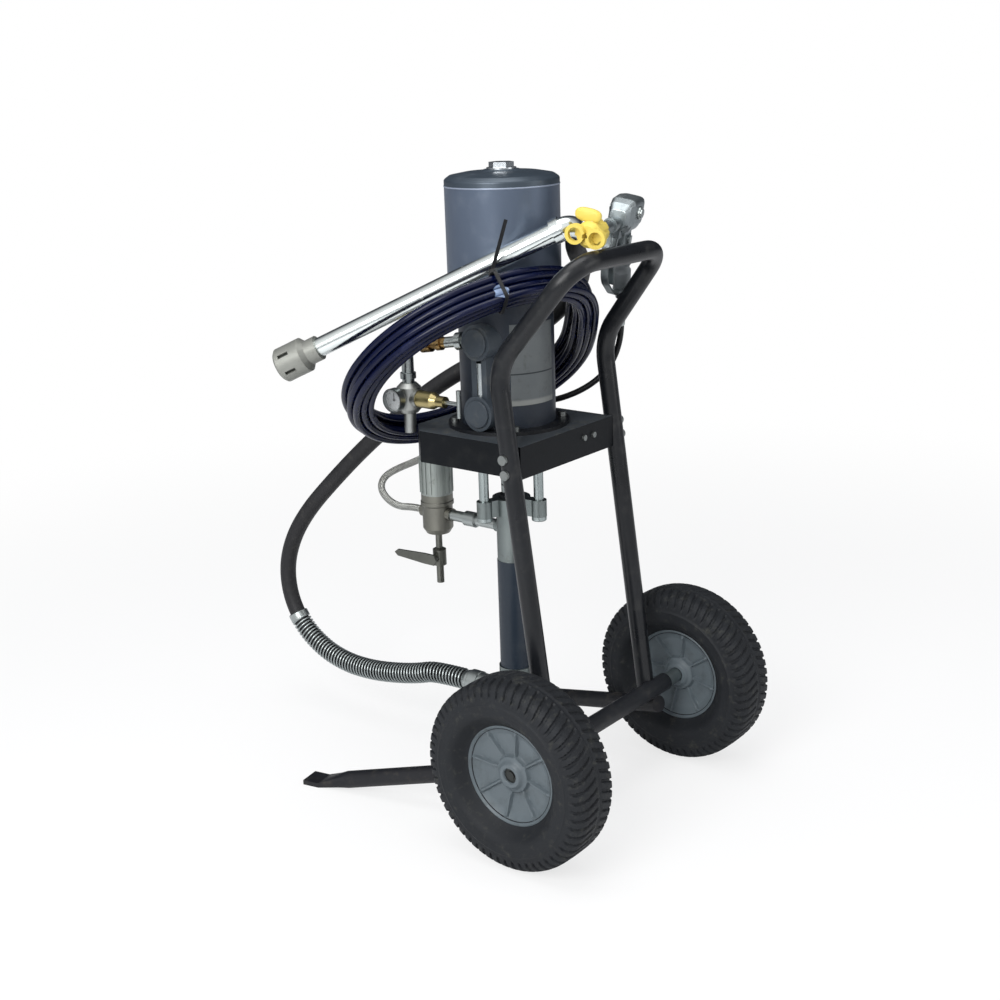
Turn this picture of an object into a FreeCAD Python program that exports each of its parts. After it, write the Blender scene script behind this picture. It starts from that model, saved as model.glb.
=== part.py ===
import FreeCAD, Part
import math
import os
import re
import Sketcher
from FreeCAD import Placement, Rotation, Vector

# An airless paint sprayer on a two-wheel cart, in millimetres. The floor is z = 0, x = 0 is the cart's middle
# plane, +Y points to the handle side, and the suction side hangs out over the front, at -Y.
SIZES = {
    # cart
    "axle_y": 140.0, "wheel_radius": 130.0, "wheel_x": 201.2, "tyre_half_width": 40.0,
    "tyre_shoulder": 33.0, "tyre_side_radius": 86.0, "tread_depth": 2.0, "tread_notch": 4.0,
    "rim_seat_radius": 64.0, "rim_flange_radius": 69.3, "rim_half_width": 20.5, "rim_flange": 2.8,
    "rim_inner_radius": 57.0, "rim_web": 3.0, "rim_rib": 4.0, "rim_rib_reach": 13.0, "hub_radius": 18.0,
    "hub_half_width": 20.0, "bush_radius": 10.0, "bush_length": 13.0, "bush_recess": 5.0,
    "axle_radius": 6.0, "running_gap": 0.05, "axle_tube_radius": 13.0, "axle_tube_half": 150.0,
    "axle_end_recess": 2.0, "washer_radius": 9.6, "washer_thickness": 1.2, "spacer_radius": 10.0,
    "frame_radius": 12.7, "frame_wall": 2.0, "leg_foot_x": 118.1, "leg_foot_setback": 12.1,
    "leg_bend_x": 118.8, "leg_bend_setback": 81.1, "leg_bend_z": 641.7, "handle_half": 98.3,
    "handle_reach": 29.8, "handle_z": 775.0, "handle_corner": 45.0, "leg_bend_round": 75.0,
    "foot_bar_radius": 12.5, "foot_top_x": 122.0, "foot_top_z": 104.5, "foot_tip_x": 202.5,
    "foot_tip_setback": 398.0, "foot_tip_thick": 7.0, "foot_tip_width": 32.0, "foot_tip_length": 26.0,
    "foot_press": 46.0,
    # tray
    "tray_half": 105.4, "tray_rear_setback": 57.5, "tray_front_setback": 262.0, "tray_top": 535.1,
    "tray_depth": 43.8, "tray_sheet": 3.0, "tray_front_corner": 30.0, "tray_hole": 54.0, "tray_bolt": 4.0,
    # air motor
    "motor_setback": 159.0, "base_radius": 84.0, "base_thickness": 5.0, "base_bolt_circle": 75.0,
    "barrel_radius": 65.5, "barrel_bore": 56.0, "barrel_floor": 14.0, "barrel_top": 716.0,
    "head_thickness": 12.0, "jacket_radius": 77.2, "jacket_wall": 2.5, "jacket_rim_z": 861.0,
    "jacket_bevel": 12.0, "jacket_top_radius": 62.0, "jacket_dome": 7.0, "plug_radius": 17.0,
    "plug_height": 9.0, "stud_radius": 6.0, "piston_thickness": 22.0, "piston_radius": 54.0,
    "seal_groove": 4.0, "seal_width": 7.0, "rod_radius": 9.0, "stroke": 74.0, "stop_gap": 0.3,
    "valve_y": 12.0, "valve_lobe": 24.0, "valve_low_z": 564.1, "valve_high_z": 660.0,
    "valve_face_x": 82.0, "valve_web_half": 13.0, "cap_radius": 19.0, "cap_height": 3.0,
    "spool_radius": 6.0, "spool_length": 52.0, "spool_travel": 12.0, "label_height": 110.0,
    "label_low_z": 572.0, "label_thickness": 0.8, "label_angle": 62.0,
    # air inlet
    "air_x": 85.0, "air_setback": 266.5, "air_z": 574.5, "air_body_radius": 17.0, "air_body_height": 42.0,
    "gauge_radius": 16.5, "gauge_depth": 13.0, "gauge_face_x": 121.0, "gauge_wall": 1.5,
    "glass_thickness": 1.2, "bonnet_radius": 12.0, "bonnet_length": 46.0, "stem_radius": 3.0,
    "bar_radius": 3.4, "bar_length": 38.0, "bar_y": -176.5, "elbow_z": 646.0, "pipe_radius": 7.5,
    "inlet_length": 34.0, "inlet_thread": 5.9, "inlet_depth": 12.0,
    # pump
    "tie_circle": 44.0, "tie_radius": 7.0, "tie_turn": -21.0, "yoke_radius": 27.0, "yoke_low": 404.0,
    "yoke_high": 428.0, "lug_radius": 11.0, "outlet_radius": 22.3, "outlet_low": 335.0, "outlet_z": 381.0,
    "liner_bore": 15.0, "liner_radius": 20.4, "sleeve_radius": 23.0, "liner_low": 165.0,
    "foot_radius": 25.0, "foot_high": 173.0, "foot_low": 112.0, "pump_rod_radius": 8.0,
    "coupling_radius": 14.0, "coupling_height": 26.0, "coupling_low": 434.0, "coupling_split": 447.0,
    "packing_radius": 13.0, "nut_radius": 16.5, "nut_height": 4.0, "pump_piston_low": 230.0,
    "pump_piston_high": 264.0, "ball_radius": 6.5, "ball_seat": 4.5, "ball_lift": 4.0,
    "foot_ball_radius": 9.0, "foot_seat": 6.5, "foot_seat_z": 138.0,
    # filter
    "filter_setback": 299.0, "filter_radius": 23.5, "filter_low": 351.0, "filter_split": 411.0,
    "filter_high": 482.0, "filter_rib": 1.4, "filter_wall": 4.0, "element_radius": 12.0,
    "pipe_union_radius": 10.0, "fluid_pipe_radius": 8.0, "drain_z": 312.0, "drain_radius": 10.0,
    "drain_bore": 3.0,
    # suction side
    "swivel_z": 116.0, "suction_radius": 13.0, "tube_radius": 13.0, "tube_bore": 11.0,
    "strainer_radius": 24.0, "strainer_length": 46.0, "spring_wire": 1.5, "spring_curls": 24.0,
    "spring_gap": 0.3, "elbow_radius": 14.4, "elbow_bend": 15.0, "elbow_reach": 30.0,
    "elbow_overlap": 15.0, "joint_gap": 0.4,
    # long hose
    "hose_radius": 4.8, "hose_pitch": 10.4, "coil_radius": 175.8, "coil_turns_per_layer": 3.0,
    "coil_layers": 4.0, "coil_x": 25.7, "coil_setback": 192.9, "coil_z": 621.9, "coil_tilt": 41.65,
    "coil_heading": 72.7, "whip_radius": 4.4, "loop_radius": 5.4,
    # gun
    "gun_x": -82.0, "gun_reach": -21.0, "gun_z": 810.0, "gun_heading": 14.2, "gun_drop": 2.5,
    "gun_roll": -12.0, "grip_rake": 24.8, "gun_body_radius": 17.0, "barrel_reach": 104.0,
    "gun_barrel_radius": 8.0, "grip_length": 112.0, "grip_radius": 12.0, "guard_radius": 17.0,
    "guard_reach": 138.0, "tip_radius": 5.0, "eye_reach": 14.0, "eye_radius": 13.0, "eye_depth": 7.0,
    "eye_wall": 4.5, "flag_radius": 11.5, "trigger_x": 21.0, "trigger_drop": 12.0, "trigger_travel": 18.0,
    "pin_radius": 2.0, "latch_x": -6.0, "latch_drop": 24.0, "hub_gap": 0.6, "union_radius": 8.0,
    "union_length": 24.0,
}

doc = FreeCAD.newDocument("airless_paint_sprayer")
sheet = doc.addObject("Spreadsheet::Sheet", "sizes")
for row, (name, number) in enumerate(SIZES.items(), 1):
    sheet.set(f"A{row}", name)
    sheet.set(f"B{row}", str(number))
    sheet.setAlias(f"B{row}", name)
doc.recompute()

pieces = {}
FACING = {
    "up": Rotation(),
    "down": Rotation(Vector(1, 0, 0), 180),
    "near": Rotation(Vector(0, 1, 0), 90),
    "far": Rotation(Vector(0, 1, 0), -90),
    "rear": Rotation(Vector(1, 0, 0), -90),
    "front": Rotation(Vector(1, 0, 0), 90),
}


def bound(text):
    """A sheet expression from plain names: 'rim_web / 2' becomes 'sizes.rim_web / 2'."""
    return re.sub(r"[a-z_]+", lambda word: ("sizes." if word.group() in SIZES else "") + word.group(), text)


def value(text):
    return float(sheet.evalExpression(bound(text)))


def cart(x, y, z):
    """A point given from the axle's line instead of from the part's own origin."""
    return Vector(x, y + value("axle_y"), z)


def origin_part(body, role):
    return next(item for item in body.Origin.OriginFeatures if item.Role == role)


def put(item, place, rotation=None):
    """Turns a piece and binds its place to the sheet."""
    item.Placement = Placement(Vector(), rotation or Rotation())
    for letter, text in zip("xyz", place):
        item.setExpression("Placement.Base." + letter, bound(text))
    return item


def keep(label, item):
    item.Label = label
    pieces[label] = item
    return item


def member(item):
    """Takes a shape off the list of pieces, because another piece is made with it."""
    del pieces[item.Label]
    return item


def outline_sketch(body, name, outline, plane):
    """A closed outline of straight lines, each corner held by two distances bound to the sheet."""
    sketch = body.newObject("Sketcher::SketchObject", name)
    sketch.AttachmentSupport = (origin_part(body, plane), [""])
    sketch.MapMode = "FlatFace"
    corners = [Vector(value(across), value(up), 0) for across, up in outline]
    count = len(corners)
    for index in range(count):
        sketch.addGeometry(Part.LineSegment(corners[index], corners[(index + 1) % count]), False)
    for index in range(count):
        sketch.addConstraint(Sketcher.Constraint("Coincident", index, 2, (index + 1) % count, 1))
    for index, (across, up) in enumerate(outline):
        corner = corners[index]
        for kind, text, size in (("DistanceX", across, corner.x), ("DistanceY", up, corner.y)):
            number = sketch.addConstraint(Sketcher.Constraint(kind, -1, 1, index, 1, size))
            sketch.setExpression(f"Constraints[{number}]", bound(text))
    return sketch


def turned(label, outline, place=("0", "0", "0"), facing="up", rounds=()):
    """A body of revolution: outline holds (radius, height) corners, rounds holds (radius, height, fillet)."""
    body = doc.addObject("PartDesign::Body", label)
    sketch = outline_sketch(body, label + "_outline", outline, "XZ_Plane")
    solid = body.newObject("PartDesign::Revolution", label + "_turned")
    solid.Profile = sketch
    solid.ReferenceAxis = (sketch, ["V_Axis"])
    solid.Angle = 360
    doc.recompute()
    for radius, height, fillet in rounds:
        edges = []
        for number, edge in enumerate(solid.Shape.Edges, 1):
            ring = edge.Curve
            if hasattr(ring, "Radius") and abs(ring.Radius - value(radius)) < 0.01:
                if abs(edge.CenterOfMass.z - value(height)) < 0.01:
                    edges.append(f"Edge{number}")
        rounding = body.newObject("PartDesign::Fillet", label + "_round")
        rounding.Base = (solid, edges)
        rounding.setExpression("Radius", bound(fillet))
        doc.recompute()
        solid = rounding
    put(body, place, FACING[facing] if isinstance(facing, str) else facing)
    return keep(label, body)


def padded(label, outline, low, high, place=("0", "0", "0"), rotation=None, plane="XY_Plane"):
    """A straight prism: the outline lies in the plane, and the pad runs from low to high across it."""
    body = doc.addObject("PartDesign::Body", label)
    sketch = outline_sketch(body, label + "_outline", outline, plane)
    sketch.setExpression("AttachmentOffset.Base.z", bound(low))
    solid = body.newObject("PartDesign::Pad", label + "_pad")
    solid.Profile = sketch
    solid.setExpression("Length", bound(f"({high}) - ({low})"))
    put(body, place, rotation)
    return keep(label, body)


def cylinder(radius, height, place, facing="up"):
    item = doc.addObject("Part::Cylinder", "round_bar")
    item.setExpression("Radius", bound(radius))
    item.setExpression("Height", bound(height))
    return put(item, place, FACING[facing] if isinstance(facing, str) else facing)


def box(length, width, height, place, rotation=None):
    item = doc.addObject("Part::Box", "block")
    for side, text in (("Length", length), ("Width", width), ("Height", height)):
        item.setExpression(side, bound(text))
    return put(item, place, rotation)


def joined(label, *items):
    union = doc.addObject("Part::MultiFuse", "joined")
    union.Shapes = list(items)
    return keep(label, union)


def drilled(label, base, *tools):
    """The base with every tool cut out of it."""
    for tool in tools:
        rest = doc.addObject("Part::Cut", "drilled")
        rest.Base = base
        rest.Tool = tool
        base = rest
    return keep(label, base)


def group(label, *items):
    """Like pieces that share one node, as separate solids."""
    together = doc.addObject("Part::Compound", "group")
    together.Links = list(items)
    return keep(label, together)


def formed(label, shape):
    """A piece whose form comes straight from the shape functions, from sizes read off the sheet."""
    item = doc.addObject("Part::Feature", label)
    item.Shape = shape
    return keep(label, item)


def route(points, radii):
    """A wire of straight runs with a tangent arc at each inner point."""
    edges = []
    start = points[0]
    for before, corner, after, radius in zip(points, points[1:], points[2:], radii):
        way_in = (corner - before).normalize()
        way_out = (after - corner).normalize()
        half_turn = way_in.getAngle(way_out) / 2
        reach = radius * math.tan(half_turn)
        arc_start = corner - way_in * reach
        arc_end = corner + way_out * reach
        middle = corner + (way_out - way_in).normalize() * (radius / math.cos(half_turn) - radius)
        edges.append(Part.LineSegment(start, arc_start).toShape())
        edges.append(Part.Arc(arc_start, middle, arc_end).toShape())
        start = arc_end
    edges.append(Part.LineSegment(start, points[-1]).toShape())
    return Part.Wire(edges)


def easy_radii(points):
    """The largest arc at each inner point that leaves a tenth of the shorter run straight."""
    radii = []
    for before, corner, after in zip(points, points[1:], points[2:]):
        half_turn = (corner - before).getAngle(after - corner) / 2
        radii.append(0.45 * min((corner - before).Length, (after - corner).Length) / math.tan(half_turn))
    return radii


def pipe(wire, radius, heading, sides=0):
    """A solid round bar, or one with flat sides, along a wire."""
    start = wire.OrderedVertexes[0].Point
    ring = Part.Circle(start, heading, radius).toShape()
    if sides:
        corners = [ring.valueAt(ring.LastParameter * side / sides) for side in range(sides + 1)]
        ring = Part.makePolygon(corners)
    return Part.Wire(wire).makePipeShell([Part.Wire(ring)], True, False)


def bent(points, radii, radius, bore=0.0):
    wire = route(points, radii)
    heading = points[1] - points[0]
    solid = pipe(wire, radius, heading)
    if bore:
        solid = solid.cut(pipe(wire, bore, heading))
    return solid


def biarcs(points, headings):
    """A smooth wire through the points: two tangent arcs from each one to the next."""
    edges = []
    for start, end, way_out, way_in in zip(points, points[1:], headings, headings[1:]):
        chord = end - start
        both = way_out + way_in
        spread = 2 * (1 - way_out.dot(way_in))
        push = chord.dot(both)
        reach = (math.sqrt(push * push + spread * chord.dot(chord)) - push) / spread
        joint = (start + way_out * reach + end - way_in * reach) * 0.5
        for near_end, far_end, heading in ((start, joint, way_out), (joint, end, None)):
            line = far_end - near_end
            along = Vector(line).normalize()
            if heading is None:
                heading = along * (2 * along.dot(way_in)) - way_in
            aside = heading - along * heading.dot(along)
            half = heading.getAngle(along) / 2
            bulge = line.Length / 2 * math.tan(half)
            middle = (near_end + far_end) * 0.5 + Vector(aside).normalize() * bulge
            edges.append(Part.Arc(near_end, middle, far_end).toShape())
    return Part.Wire(edges)


def least_gap(points, turn, diameter):
    """The smallest distance between points of one winding at least half a turn apart, less its diameter."""
    best = 1e9
    for index, point in enumerate(points):
        for other in points[index + turn // 2 + 1:index + turn * 8]:
            best = min(best, (point - other).Length)
    return best - diameter


MOTOR = ("0", "axle_y - motor_setback")
SIDES = (("near", 1), ("far", -1))

# Wheels: a pneumatic tyre on a moulded rim, on two plain bushes each.
for side, sign in SIDES:
    centre = (f"{sign} * wheel_x", "axle_y", "wheel_radius")
    tyre = turned(
        "tyre_" + side,
        [
            ("rim_seat_radius", "rim_flange - rim_half_width"),
            ("rim_flange_radius", "rim_flange - rim_half_width"),
            ("rim_flange_radius", "-rim_half_width"),
            ("tyre_side_radius", "-tyre_half_width"),
            ("wheel_radius", "-tyre_half_width"),
            ("wheel_radius", "tyre_half_width"),
            ("tyre_side_radius", "tyre_half_width"),
            ("rim_flange_radius", "rim_half_width"),
            ("rim_flange_radius", "rim_half_width - rim_flange"),
            ("rim_seat_radius", "rim_half_width - rim_flange"),
        ],
        centre,
        side,
        [
            ("wheel_radius", "-tyre_half_width", "tyre_shoulder"),
            ("wheel_radius", "tyre_half_width", "tyre_shoulder"),
            ("tyre_side_radius", "-tyre_half_width", "tyre_shoulder / 3"),
            ("tyre_side_radius", "tyre_half_width", "tyre_shoulder / 3"),
        ],
    )
    for row, edge in (("outer", 1), ("inner", -1)):
        notches = outline_sketch(
            tyre,
            "tread_notches_" + row,
            [
                ("wheel_radius - tread_depth - 6", f"{edge} * (tyre_half_width + 1)"),
                ("wheel_radius + 1", f"{edge} * (tyre_half_width + 1)"),
                ("wheel_radius + 1", f"{edge} * 4"),
                ("wheel_radius - tread_depth", f"{edge} * 4"),
                ("wheel_radius - tread_depth", f"{edge} * tyre_half_width / 2"),
                ("wheel_radius - tread_depth - 6", f"{edge} * tyre_half_width * 0.78"),
            ],
            "XZ_Plane",
        )
        notch = tyre.newObject("PartDesign::Pocket", "tread_notch_" + row)
        notch.Profile = notches
        notch.Midplane = True
        notch.setExpression("Length", bound("tread_notch"))
        doc.recompute()
        row_of_notches = tyre.newObject("PartDesign::PolarPattern", "tread_row_" + row)
        row_of_notches.Originals = [notch]
        row_of_notches.Axis = (notches, ["V_Axis"])
        row_of_notches.Angle = 360
        row_of_notches.Occurrences = 24
        tyre.Tip = row_of_notches
        doc.recompute()

    rim = turned(
        "rim_turned_" + side,
        [
            ("bush_radius", "-hub_half_width"),
            ("hub_radius", "-hub_half_width"),
            ("hub_radius", "-rim_web"),
            ("rim_inner_radius", "-rim_web"),
            ("rim_inner_radius", "-rim_half_width"),
            ("rim_flange_radius", "-rim_half_width"),
            ("rim_flange_radius", "rim_flange - rim_half_width"),
            ("rim_seat_radius", "rim_flange - rim_half_width"),
            ("rim_seat_radius", "rim_half_width - rim_flange"),
            ("rim_flange_radius", "rim_half_width - rim_flange"),
            ("rim_flange_radius", "rim_half_width"),
            ("rim_inner_radius + 3", "rim_half_width"),
            ("rim_inner_radius", "rim_web"),
            ("hub_radius + 3", "rim_web"),
            ("hub_radius", "hub_half_width"),
            ("bush_radius", "hub_half_width"),
        ],
        centre,
        side,
    )
    for face, reach in (("front", 1), ("back", -1)):
        rib_sketch = outline_sketch(
            rim,
            "rib_outline_" + face,
            [
                ("hub_radius - 1", f"{reach} * rim_web / 2"),
                ("rim_inner_radius + 2", f"{reach} * rim_web / 2"),
                ("rim_inner_radius + 2", f"{reach} * (rim_rib_reach + 1)"),
                ("hub_radius - 1", f"{reach} * (rim_rib_reach + 5)"),
            ],
            "XZ_Plane",
        )
        rib = rim.newObject("PartDesign::Pad", "rib_" + face)
        rib.Profile = rib_sketch
        rib.Midplane = True
        rib.setExpression("Length", bound("rim_rib"))
        doc.recompute()
        ribs = rim.newObject("PartDesign::PolarPattern", "ribs_" + face)
        ribs.Originals = [rib]
        ribs.Axis = (rib_sketch, ["V_Axis"])
        ribs.Angle = 360
        ribs.Occurrences = 8
        rim.Tip = ribs
        doc.recompute()

    bushes = []
    for end, facing in (("outer", side), ("inner", {"near": "far", "far": "near"}[side])):
        bush = turned(
            f"bush_{side}_{end}",
            [
                ("axle_radius + running_gap", "hub_half_width - bush_recess - bush_length"),
                ("bush_radius", "hub_half_width - bush_recess - bush_length"),
                ("bush_radius", "hub_half_width - bush_recess"),
                ("axle_radius + running_gap", "hub_half_width - bush_recess"),
            ],
            centre,
            facing,
        )
        bushes.append(member(bush))
    group("rim_" + side, member(rim), *bushes)

# Axle: a plain shaft through the axle tube, with a spacer inside each wheel and a push-on washer outside.
axle_half = "wheel_x + hub_half_width - axle_end_recess"
put_axle = (f"-({axle_half})", "axle_y", "wheel_radius")
shaft = cylinder("axle_radius", f"2 * ({axle_half})", put_axle, "near")
drilled(
    "axle_tube",
    cylinder("axle_tube_radius", "2 * axle_tube_half", ("-axle_tube_half", "axle_y", "wheel_radius"), "near"),
    cylinder(
        "axle_radius + running_gap",
        "2 * axle_tube_half + 2",
        ("-axle_tube_half - 1", "axle_y", "wheel_radius"),
        "near",
    ),
)
washers = []
spacers = []
for side, sign in SIDES:
    outer = "hub_half_width - bush_recess + 0.3"
    washers.append(
        member(turned(
            "washer_" + side,
            [
                ("axle_radius", outer),
                ("washer_radius", outer),
                ("washer_radius", outer + " + washer_thickness"),
                ("axle_radius", outer + " + washer_thickness"),
            ],
            (f"{sign} * wheel_x", "axle_y", "wheel_radius"),
            side,
        ))
    )
    inner = "wheel_x - hub_half_width + bush_recess - 0.3"
    spacers.append(
        member(turned(
            "spacer_" + side,
            [
                ("axle_radius", "axle_tube_half"),
                ("spacer_radius", "axle_tube_half"),
                ("spacer_radius", "wheel_x - hub_half_width - 0.3"),
                ("bush_radius - 1.5", "wheel_x - hub_half_width - 0.3"),
                ("bush_radius - 1.5", inner),
                ("axle_radius", inner),
            ],
            ("0", "axle_y", "wheel_radius"),
            side,
        ))
    )
joined("axle_shaft", shaft, *washers)
group("wheel_spacers", *spacers)

# Cart frame: one bent tube makes both legs, both handle arms and the crossbar.
half_frame = [
    cart(value("leg_foot_x"), -value("leg_foot_setback"), value("wheel_radius")),
    cart(value("leg_bend_x"), -value("leg_bend_setback"), value("leg_bend_z")),
    cart(value("handle_half"), value("handle_reach"), value("handle_z")),
]
frame_points = half_frame + [Vector(-point.x, point.y, point.z) for point in reversed(half_frame)]
frame_radii = [value(name) for name in ("leg_bend_round", "handle_corner", "handle_corner", "leg_bend_round")]
frame_shape = bent(frame_points, frame_radii, value("frame_radius"), value("frame_radius - frame_wall"))
axle_line = cart(-value("axle_tube_half"), 0, value("wheel_radius"))
axle_tube_size = (value("axle_tube_radius"), value("2 * axle_tube_half"))
axle_bar = Part.makeCylinder(*axle_tube_size, axle_line, Vector(1, 0, 0))
formed("frame_tube", frame_shape.cut(axle_bar))

# Stand feet: straight tubes welded under the axle tube, pressed flat where they meet the floor.
feet = []
for side, sign in SIDES:
    top = cart(sign * value("foot_top_x"), 8, value("foot_top_z + 2"))
    tip = cart(sign * value("foot_tip_x"), -value("foot_tip_setback"), value("foot_tip_thick / 2"))
    flat_way = Vector(tip.x - top.x, tip.y - top.y, 0).normalize()
    flat_start = tip - flat_way * value("foot_tip_length")
    bar_way = (flat_start - top).normalize()
    press_start = flat_start - bar_way * value("foot_press")
    radius = value("foot_bar_radius")
    across = flat_way.cross(Vector(0, 0, 1)).normalize()
    upright = across.cross(bar_way).normalize()
    half = value("foot_tip_width / 2")
    thick = value("foot_tip_thick / 2")
    quarters = ((1, -1), (1, 1), (-1, 1), (-1, -1))
    rings = []
    for centre in (top, press_start):
        corners = [centre + (across * a + upright * b) * (radius / math.sqrt(2)) for a, b in quarters]
        outers = [centre + way * radius for way in (across, upright, across * -1, upright * -1)]
        arcs = [Part.Arc(corners[i], outers[i], corners[(i + 1) % 4]).toShape() for i in range(4)]
        rings.append(Part.Wire(arcs))
    for centre in (flat_start, flat_start + flat_way * value("foot_tip_length")):
        corners = [centre + across * a * half + Vector(0, 0, b * thick) for a, b in quarters]
        rings.append(Part.makePolygon(corners + corners[:1]))
    feet.append(Part.makeLoft(rings, True, True).cut(axle_bar))
formed("stand_feet", Part.Compound(feet))

# Motor tray: a folded sheet between the legs, with a hole for the pump.


def tray_outline(inset):
    """The tray seen from above, its two front corners cut off, drawn in by an inset."""
    side_x = f"tray_half - {inset}"
    front_y = f"axle_y - tray_front_setback + {inset}"
    rear_y = f"axle_y - tray_rear_setback - {inset}"
    slant = f"(tray_front_corner - {inset} * 0.586)"
    return [
        (f"-({side_x})", rear_y),
        (f"-({side_x})", f"{front_y} + {slant}"),
        (f"{slant} - ({side_x})", front_y),
        (f"{side_x} - {slant}", front_y),
        (side_x, f"{front_y} + {slant}"),
        (side_x, rear_y),
    ]


tray_block = member(padded("tray_block", tray_outline("0"), "tray_top - tray_depth", "tray_top"))
tray_hollow = member(
    padded("tray_hollow", tray_outline("tray_sheet"), "tray_top - tray_depth - 1", "tray_top - tray_sheet")
)
tray_opening = cylinder("tray_hole", "20", MOTOR + ("tray_top - 10",))
drilled("motor_tray", tray_block, tray_hollow, tray_opening)

tray_bolts = []
leg_slope = "(leg_bend_setback - leg_foot_setback) / (leg_bend_z - wheel_radius)"
for sign, facing in ((1, "near"), (-1, "far")):
    for drop in (12, 32):
        height = f"tray_top - {drop}"
        setback = f"(leg_foot_setback + ({height} - wheel_radius) * {leg_slope})"
        leg_side = "leg_bend_x + frame_radius"
        tray_bolts.append(
            cylinder(
                "tray_bolt + 2.5", "4", (f"{sign} * ({leg_side})", f"axle_y - {setback}", height), facing
            )
        )
for reach in (-36, -58):
    bolt_place = (str(reach), "axle_y - tray_rear_setback", "tray_top - 17")
    tray_bolts.append(cylinder("tray_bolt", "3", bolt_place, "rear"))

# Air motor, from the tray up: base plate, barrel, head, jacket and the plug that holds the jacket down.
rod_hole = "rod_radius + running_gap"
turned(
    "base_plate",
    [
        (rod_hole, "tray_top"),
        ("base_radius", "tray_top"),
        ("base_radius", "tray_top + base_thickness"),
        (rod_hole, "tray_top + base_thickness"),
    ],
    MOTOR + ("0",),
)
floor_top = "tray_top + base_thickness + barrel_floor"
turned(
    "air_cylinder",
    [
        (rod_hole, "tray_top + base_thickness"),
        ("barrel_radius", "tray_top + base_thickness"),
        ("barrel_radius", "barrel_top"),
        ("barrel_bore", "barrel_top"),
        ("barrel_bore", floor_top),
        (rod_hole, floor_top),
    ],
    MOTOR + ("0",),
)
turned(
    "cylinder_head",
    [
        ("0", "barrel_top"),
        ("jacket_radius - jacket_wall", "barrel_top"),
        ("jacket_radius - jacket_wall", "barrel_top + head_thickness"),
        ("barrel_bore", "barrel_top + head_thickness"),
        ("barrel_bore - 8", "barrel_top + 2 * head_thickness"),
        ("0", "barrel_top + 2 * head_thickness"),
    ],
    MOTOR + ("0",),
)
jacket_top = "jacket_rim_z + jacket_bevel + jacket_dome"
turned(
    "motor_jacket",
    [
        ("jacket_radius - jacket_wall", "barrel_top"),
        ("jacket_radius", "barrel_top"),
        ("jacket_radius", "jacket_rim_z"),
        ("jacket_top_radius + 4", "jacket_rim_z + jacket_bevel"),
        ("plug_radius + 4", jacket_top),
        ("stud_radius + 0.2", jacket_top),
        ("stud_radius + 0.2", jacket_top + " - jacket_wall"),
        ("plug_radius + 4", jacket_top + " - jacket_wall"),
        ("jacket_top_radius + 4", "jacket_rim_z + jacket_bevel - jacket_wall"),
        ("jacket_radius - jacket_wall", "jacket_rim_z - jacket_wall"),
    ],
    MOTOR + ("0",),
    "up",
    [("jacket_radius", "jacket_rim_z", "5"), ("jacket_top_radius + 4", "jacket_rim_z + jacket_bevel", "8")],
)
plug = turned(
    "plug_turned",
    [
        ("0", "barrel_top + 2 * head_thickness"),
        ("stud_radius", "barrel_top + 2 * head_thickness"),
        ("stud_radius", jacket_top),
        ("plug_radius + 3", jacket_top),
        ("plug_radius + 3", jacket_top + " + 2"),
        ("0", jacket_top + " + 2"),
    ],
    MOTOR + ("0",),
)
hexagon = [
    (f"{math.cos(corner):.5f} * plug_radius", f"{math.sin(corner):.5f} * plug_radius")
    for corner in (math.radians(60 * side) for side in range(6))
]
plug_hex = padded("plug_hex", hexagon, jacket_top + " + 1", jacket_top + " + plug_height", MOTOR + ("0",))
joined("top_plug", member(plug), member(plug_hex))


def ring_of(count, circle, turn, radius, height, low):
    """Round pieces on a circle about the motor's axis."""
    items = []
    for number in range(count):
        angle = f"({turn} + {360 * number / count}) * 1deg"
        place = (f"{circle} * cos({angle})", f"axle_y - motor_setback + {circle} * sin({angle})", low)
        items.append(cylinder(radius, height, place))
    return items


base_bolts = ring_of(4, "base_bolt_circle", 45, "5.5", "6", "tray_top + base_thickness")
head_screws = ring_of(6, "(barrel_bore + 5)", 0, "4.5", "6", "barrel_top + head_thickness")
group("bolts", *tray_bolts, *base_bolts, *head_screws)

# The moving train: air piston and its seal, the rod down through the floor, the coupling and the pump's rod.
piston_low = floor_top + " + stop_gap"
groove_low = piston_low + " + (piston_thickness - seal_width) / 2"
crown = turned(
    "piston_crown",
    [
        ("rod_radius", piston_low),
        ("piston_radius", piston_low),
        ("piston_radius", groove_low),
        ("piston_radius - seal_groove", groove_low),
        ("piston_radius - seal_groove", groove_low + " + seal_width"),
        ("piston_radius", groove_low + " + seal_width"),
        ("piston_radius", piston_low + " + piston_thickness"),
        ("rod_radius", piston_low + " + piston_thickness"),
    ],
    MOTOR + ("0",),
)
seal = turned(
    "piston_seal",
    [
        ("piston_radius - seal_groove", groove_low),
        ("barrel_bore - running_gap", groove_low),
        ("barrel_bore - running_gap", groove_low + " + seal_width"),
        ("piston_radius - seal_groove", groove_low + " + seal_width"),
    ],
    MOTOR + ("0",),
)
rod_top = piston_low + " + piston_thickness"
motor_rod = cylinder("rod_radius", f"{rod_top} - coupling_split", MOTOR + ("coupling_split",))
piston_on_rod = member(joined("piston_on_rod", member(crown), motor_rod))
group("air_piston", piston_on_rod, member(seal))
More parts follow.
